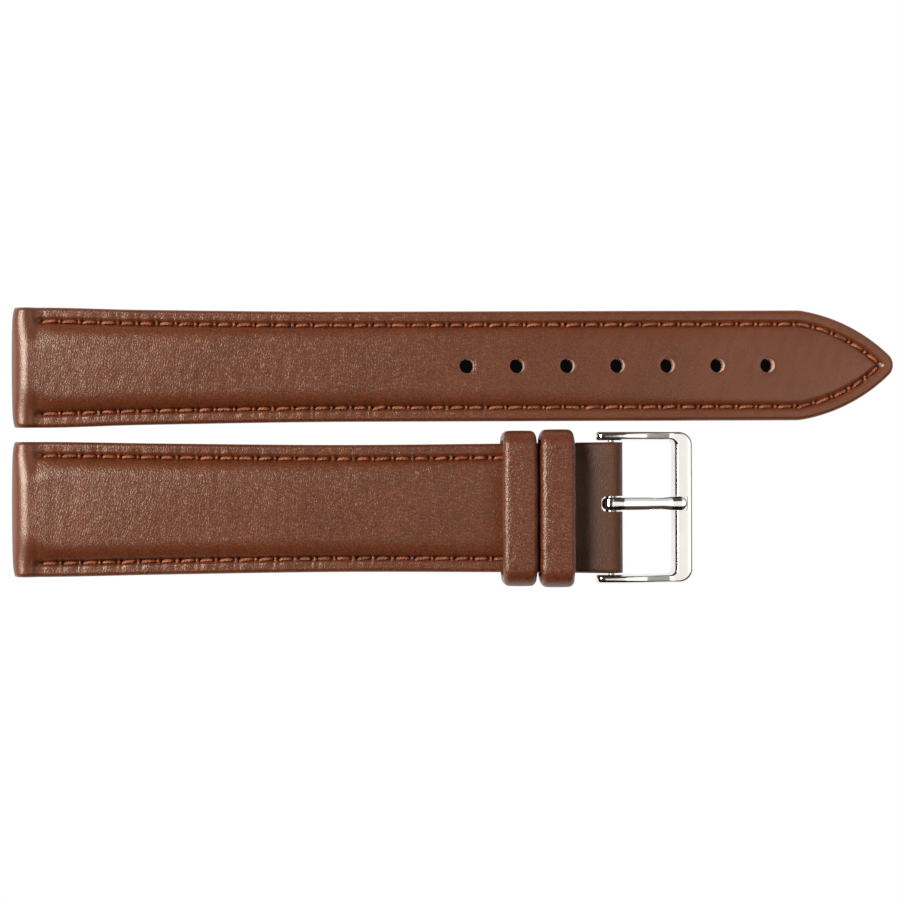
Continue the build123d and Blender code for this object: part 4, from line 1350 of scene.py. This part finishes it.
# The tongue is one rod: it wraps the spring bar, narrows in the middle and rests its tip in the bar's notch
buckleTongue = {
    "pivot": (20.9216, 2.6038),
    "loopRadius": 1.25,
    "loopWall": 0.45,
    "loopWallOnTop": 0.75,
    "loopTurn": (-35, -282),
    "loopThickensAt": 250,
    "middleY": -7.825,
    "line": [(22.35, 3.80), (23.2, 3.69), (28.5, 2.76), (29.3, 2.66), (31.1, 2.60)],
    "thickness": [(20, 0.45), (21, 0.6), (22.3, 0.92), (28.6, 0.86), (29.4, 0.76), (31.2, 0.66)],
    "widths": [
        (19.6, 0.95), (19.85, 1.35), (20.3, 1.6), (21.2, 1.7), (23.5, 1.75), (25.4, 1.74), (27.6, 1.6),
        (29, 1.8), (30.2, 1.82), (31.2, 1.7),
    ],
    "tip": 31.12,
    "tipRound": 0.85,
    "tipLeast": 0.0002,
    "tipGap": 0.004,
    "sideSquareness": 0.8,
    "backSquareness": 0.62,
    "lowSquareness": 0.5,
    "tipFlatness": 0.45,
    "loopSteps": 40,
    "shankSteps": 90,
    "sides": 33,
}


def tongueLine():
    # the back of the rod from the loop's start to the tip: each point, the way inward and the thickness
    pivot = np.array(buckleTongue["pivot"])
    first, last = buckleTongue["loopTurn"]
    wall, wallOnTop = buckleTongue["loopWall"], buckleTongue["loopWallOnTop"]
    points = []
    for turn in np.radians(np.linspace(first, last, buckleTongue["loopSteps"])):
        out = np.array([math.cos(turn), math.sin(turn)])
        onTop = float(ease(np.degrees(-turn), buckleTongue["loopThickensAt"], -last))
        points.append((pivot + buckleTongue["loopRadius"] * out, -out, wall + (wallOnTop - wall) * onTop))
    start = points[-1][0]
    stops = [tuple(start), *buckleTongue["line"]]
    end, step = buckleTongue["tip"] - buckleTongue["tipGap"], 0.01
    for x in np.linspace(start[0], end, buckleTongue["shankSteps"])[1:]:
        slope = float(glide(x + step, stops) - glide(x - step, stops)) / (2 * step)
        down = np.array([slope, -1]) / math.hypot(slope, 1)
        thick = float(glide(x, buckleTongue["thickness"]))
        points.append((np.array([x, float(glide(x, stops))]), down, thick))
    return points


def makeTongue():
    turns = np.linspace(0, math.tau, buckleTongue["sides"], endpoint=False)
    # a rounded back and a flatter underside
    squareness = np.where(np.sin(turns) > 0, buckleTongue["backSquareness"], buckleTongue["lowSquareness"])
    across = np.sign(np.cos(turns)) * np.abs(np.cos(turns)) ** buckleTongue["sideSquareness"]
    up = np.sign(np.sin(turns)) * np.abs(np.sin(turns)) ** squareness
    rings = []
    for point, down, depth in tongueLine():
        wide = float(glide(point[0], buckleTongue["widths"])) / 2
        away = buckleTongue["tip"] - point[0]
        rounded = roundedEnd(away, buckleTongue["tipRound"], buckleTongue["tipLeast"])
        flat = buckleTongue["tipFlatness"] + (1 - buckleTongue["tipFlatness"]) * rounded
        deep = depth / 2 * (1 - up * flat)
        side = buckleTongue["middleY"] + across * wide * rounded
        rings.append(np.column_stack([point[0] + down[0] * deep, side, point[1] + down[1] * deep]))
    return cleanMesh(ringsObject("buckleTongue", rings, polishedSteel), sharpAngle=60)


frameMesh = makeFrame()
tongueMesh = makeTongue()

# The spring bar keeps its own shape and gets its finish here
for nodeName in (
    "spring_bar_tube", "spring_bar_plunger_left", "spring_bar_plunger_right", "spring_bar_spring",
):
    node = frame["nodes"][nodeName]
    node.data.materials.clear()
    node.data.materials.append(barSteel)
    smoothMesh(node.data, sharpAngle=32)
print("buckle made")


# Which body each piece moves with, and the model's parts that it stands for and hides
def settle(piece, body, slot, *nodes):
    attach(piece, body)
    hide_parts(*nodes)


settle(longLeather, "long_half", "upper_leather", "long_upper", "long_padding", "long_reinforcement")
settle(shortLeather, "short_half", "upper_leather", "short_upper", "short_padding", "short_reinforcement")
settle(longLining, "long_half", "lining_leather", "long_lining")
settle(shortLining, "short_half", "lining_leather", "short_lining")
settle(longNeedleThread, "long_half", "thread", "long_needle_stitches")
settle(shortNeedleThread, "short_half", "thread", "short_needle_stitches")
settle(longBobbinThread, "long_half", "thread", "long_bobbin_stitches")
settle(shortBobbinThread, "short_half", "thread", "short_bobbin_stitches")
settle(freeKeeperCover, "free_keeper", "upper_leather", "free_keeper_cover")
settle(freeKeeperLining, "free_keeper", "lining_leather", "free_keeper_lining")
settle(fixedKeeperCover, "short_half", "upper_leather", "fixed_keeper_cover")
settle(fixedKeeperLining, "short_half", "lining_leather", "fixed_keeper_lining")
settle(frameMesh, "buckle", "polished_steel", "buckle_frame")
settle(tongueMesh, "tongue", "polished_steel", "buckle_tongue")


# Floor and light. The floor glows white, with painted shade where it is seen down a hole of the long half
floorSetup = {
    "size": 3000,
    "level": -0.02,
    "tone": 0.86,
    "holeSpread": (24, 4),
    "holeReach": 5,
    "holeShadeStops": [(0.4, 0.003), (0.75, 1)],
    "samples": 12,
}
# Each lamp's place, size, power and colour. The key lamp lights the strap, the cards shine in the steel
lamps = {
    "key": ((-545, 150, 590), (500, 420), 8.5, (1.0, 0.98, 0.96)),
    "card": ((86, -18, 250), (75, 65), 0.0148, (1.0, 0.98, 0.95)),
    "sideCard": ((170, -9, 262), (120, 100), 0.03, (1.0, 0.99, 0.98)),
}
# The room is bright over the right and on the far side, dark on the near side and low down
surroundings = {
    "overRight": [(0, 0.09), (0.3, 0.09), (0.36, 1), (0.58, 1), (0.66, 0.55)],
    "onFarSide": [(0.38, (0.11, 0.075, 0.055, 1)), (0.47, 1), (0.85, 1), (0.93, 0.35)],
    "aloft": [(0.3, 0.3), (0.42, 1)],
    "level": 0.75,
}


def makeFloor():
    size, level = floorSetup["size"], floorSetup["level"]
    corners = [(-size, -size, level), (size, -size, level), (size, size, level), (-size, size, level)]
    made, tree = newMaterial("paleFloor")
    # an oval round the row of holes, and how shut in the floor is at each place in it, which sets its painted
    # shade there
    holes = holePlaces(longHalf)
    rowMiddle = Vector((lugX + (holes[0] + holes[-1]) / 2, longY, 0)) * mm
    stretch = [1 / (spread * mm) for spread in floorSetup["holeSpread"]]
    away = vectorMaths(tree, "SUBTRACT", objectPlace(tree), rowMiddle).outputs[0]
    scaled = vectorMaths(tree, "MULTIPLY", away, (*stretch, 0)).outputs[0]
    near = maths(tree, "LESS_THAN", vectorMaths(tree, "LENGTH", scaled).outputs["Value"], 1.0)
    reach = {"Distance": floorSetup["holeReach"] * mm}
    shutIn = addNode(tree, "ShaderNodeAmbientOcclusion", reach, samples=floorSetup["samples"]).outputs["AO"]
    # in the oval the glow is darkened by how shut in the floor is: painted shade down the holes
    seen = mixed(tree, near, grey(1), ramp(tree, shutIn, floorSetup["holeShadeStops"]))
    glow = addNode(tree, "ShaderNodeEmission", {"Color": seen, "Strength": 1.0})
    plain = addNode(tree, "ShaderNodeBsdfDiffuse", {"Color": grey(floorSetup["tone"])})
    rays = addNode(tree, "ShaderNodeLightPath").outputs
    direct = maths(tree, "MAXIMUM", rays["Is Camera Ray"], rays["Is Glossy Ray"])
    direct = maths(tree, "MAXIMUM", direct, rays["Is Transmission Ray"])
    finishShader(tree, "ShaderNodeMixShader", {0: direct, 1: plain.outputs[0], 2: glow.outputs[0]})
    floor = makeObject("floor", corners, [(0, 1, 2, 3)], [made])


def makeLamp(name, place, size, power, colour):
    data = bpy.data.lights.new(name, "AREA")
    data.shape = "RECTANGLE"
    data.size, data.size_y = [side * mm for side in size]
    data.energy = power
    data.color = colour
    lamp = bpy.data.objects.new(name, data)
    lamp.location = Vector(place) * mm
    lamp.rotation_euler = (-Vector(place)).to_track_quat("-Z", "Y").to_euler()
    bpy.context.scene.collection.objects.link(lamp)


def makeWorld():
    world = bpy.data.worlds.new("studio")
    bpy.context.scene.world = world
    world.use_nodes = True
    tree = world.node_tree
    tree.nodes.clear()
    way = addNode(tree, "ShaderNodeTexCoord").outputs["Generated"]
    along = addNode(tree, "ShaderNodeSeparateXYZ", {0: way}).outputs
    overRight = ramp(tree, along["X"], surroundings["overRight"])
    onFarSide = ramp(tree, mapped(tree, along["Y"], -1.0, 1.0, 0.0, 1.0), surroundings["onFarSide"])
    sky = mixed(tree, 1.0, overRight, onFarSide, "MULTIPLY")
    sky = mixed(tree, 1.0, sky, ramp(tree, along["Z"], surroundings["aloft"]), "MULTIPLY")
    seen = addNode(tree, "ShaderNodeLightPath").outputs["Is Camera Ray"]
    level = addNode(tree, "ShaderNodeBackground", {"Color": sky, "Strength": surroundings["level"]})
    white = addNode(tree, "ShaderNodeBackground", {"Color": grey(1), "Strength": 1.0})
    values = {0: seen, 1: level.outputs[0], 2: white.outputs[0]}
    finishShader(tree, "ShaderNodeMixShader", values, "ShaderNodeOutputWorld")


# The camera looks straight down from left of the picture's middle, so its picture is shifted over
cameraSetup = {
    "place": (-14.7, -0.54, 250),
    "lens": 74.25,
    "shift": 0.1181,
    "roll": 0.2,
    "sensor": 36,
    "seesFrom": 10,
    "seesTo": 20000,
}


def makeCamera():
    data = bpy.data.cameras.new("camera")
    data.lens = cameraSetup["lens"]
    data.shift_x = cameraSetup["shift"]
    data.sensor_width = cameraSetup["sensor"]
    data.clip_start = cameraSetup["seesFrom"] * mm
    data.clip_end = cameraSetup["seesTo"] * mm
    camera = bpy.data.objects.new("camera", data)
    camera.location = Vector(cameraSetup["place"]) * mm
    camera.rotation_euler = (0, 0, -math.radians(cameraSetup["roll"]))
    bpy.context.scene.collection.objects.link(camera)
    bpy.context.scene.camera = camera


makeFloor()
for name, values in lamps.items():
    makeLamp(name, *values)
makeWorld()
makeCamera()
bpy.context.scene.view_settings.view_transform = "Standard"
print("studio ready")
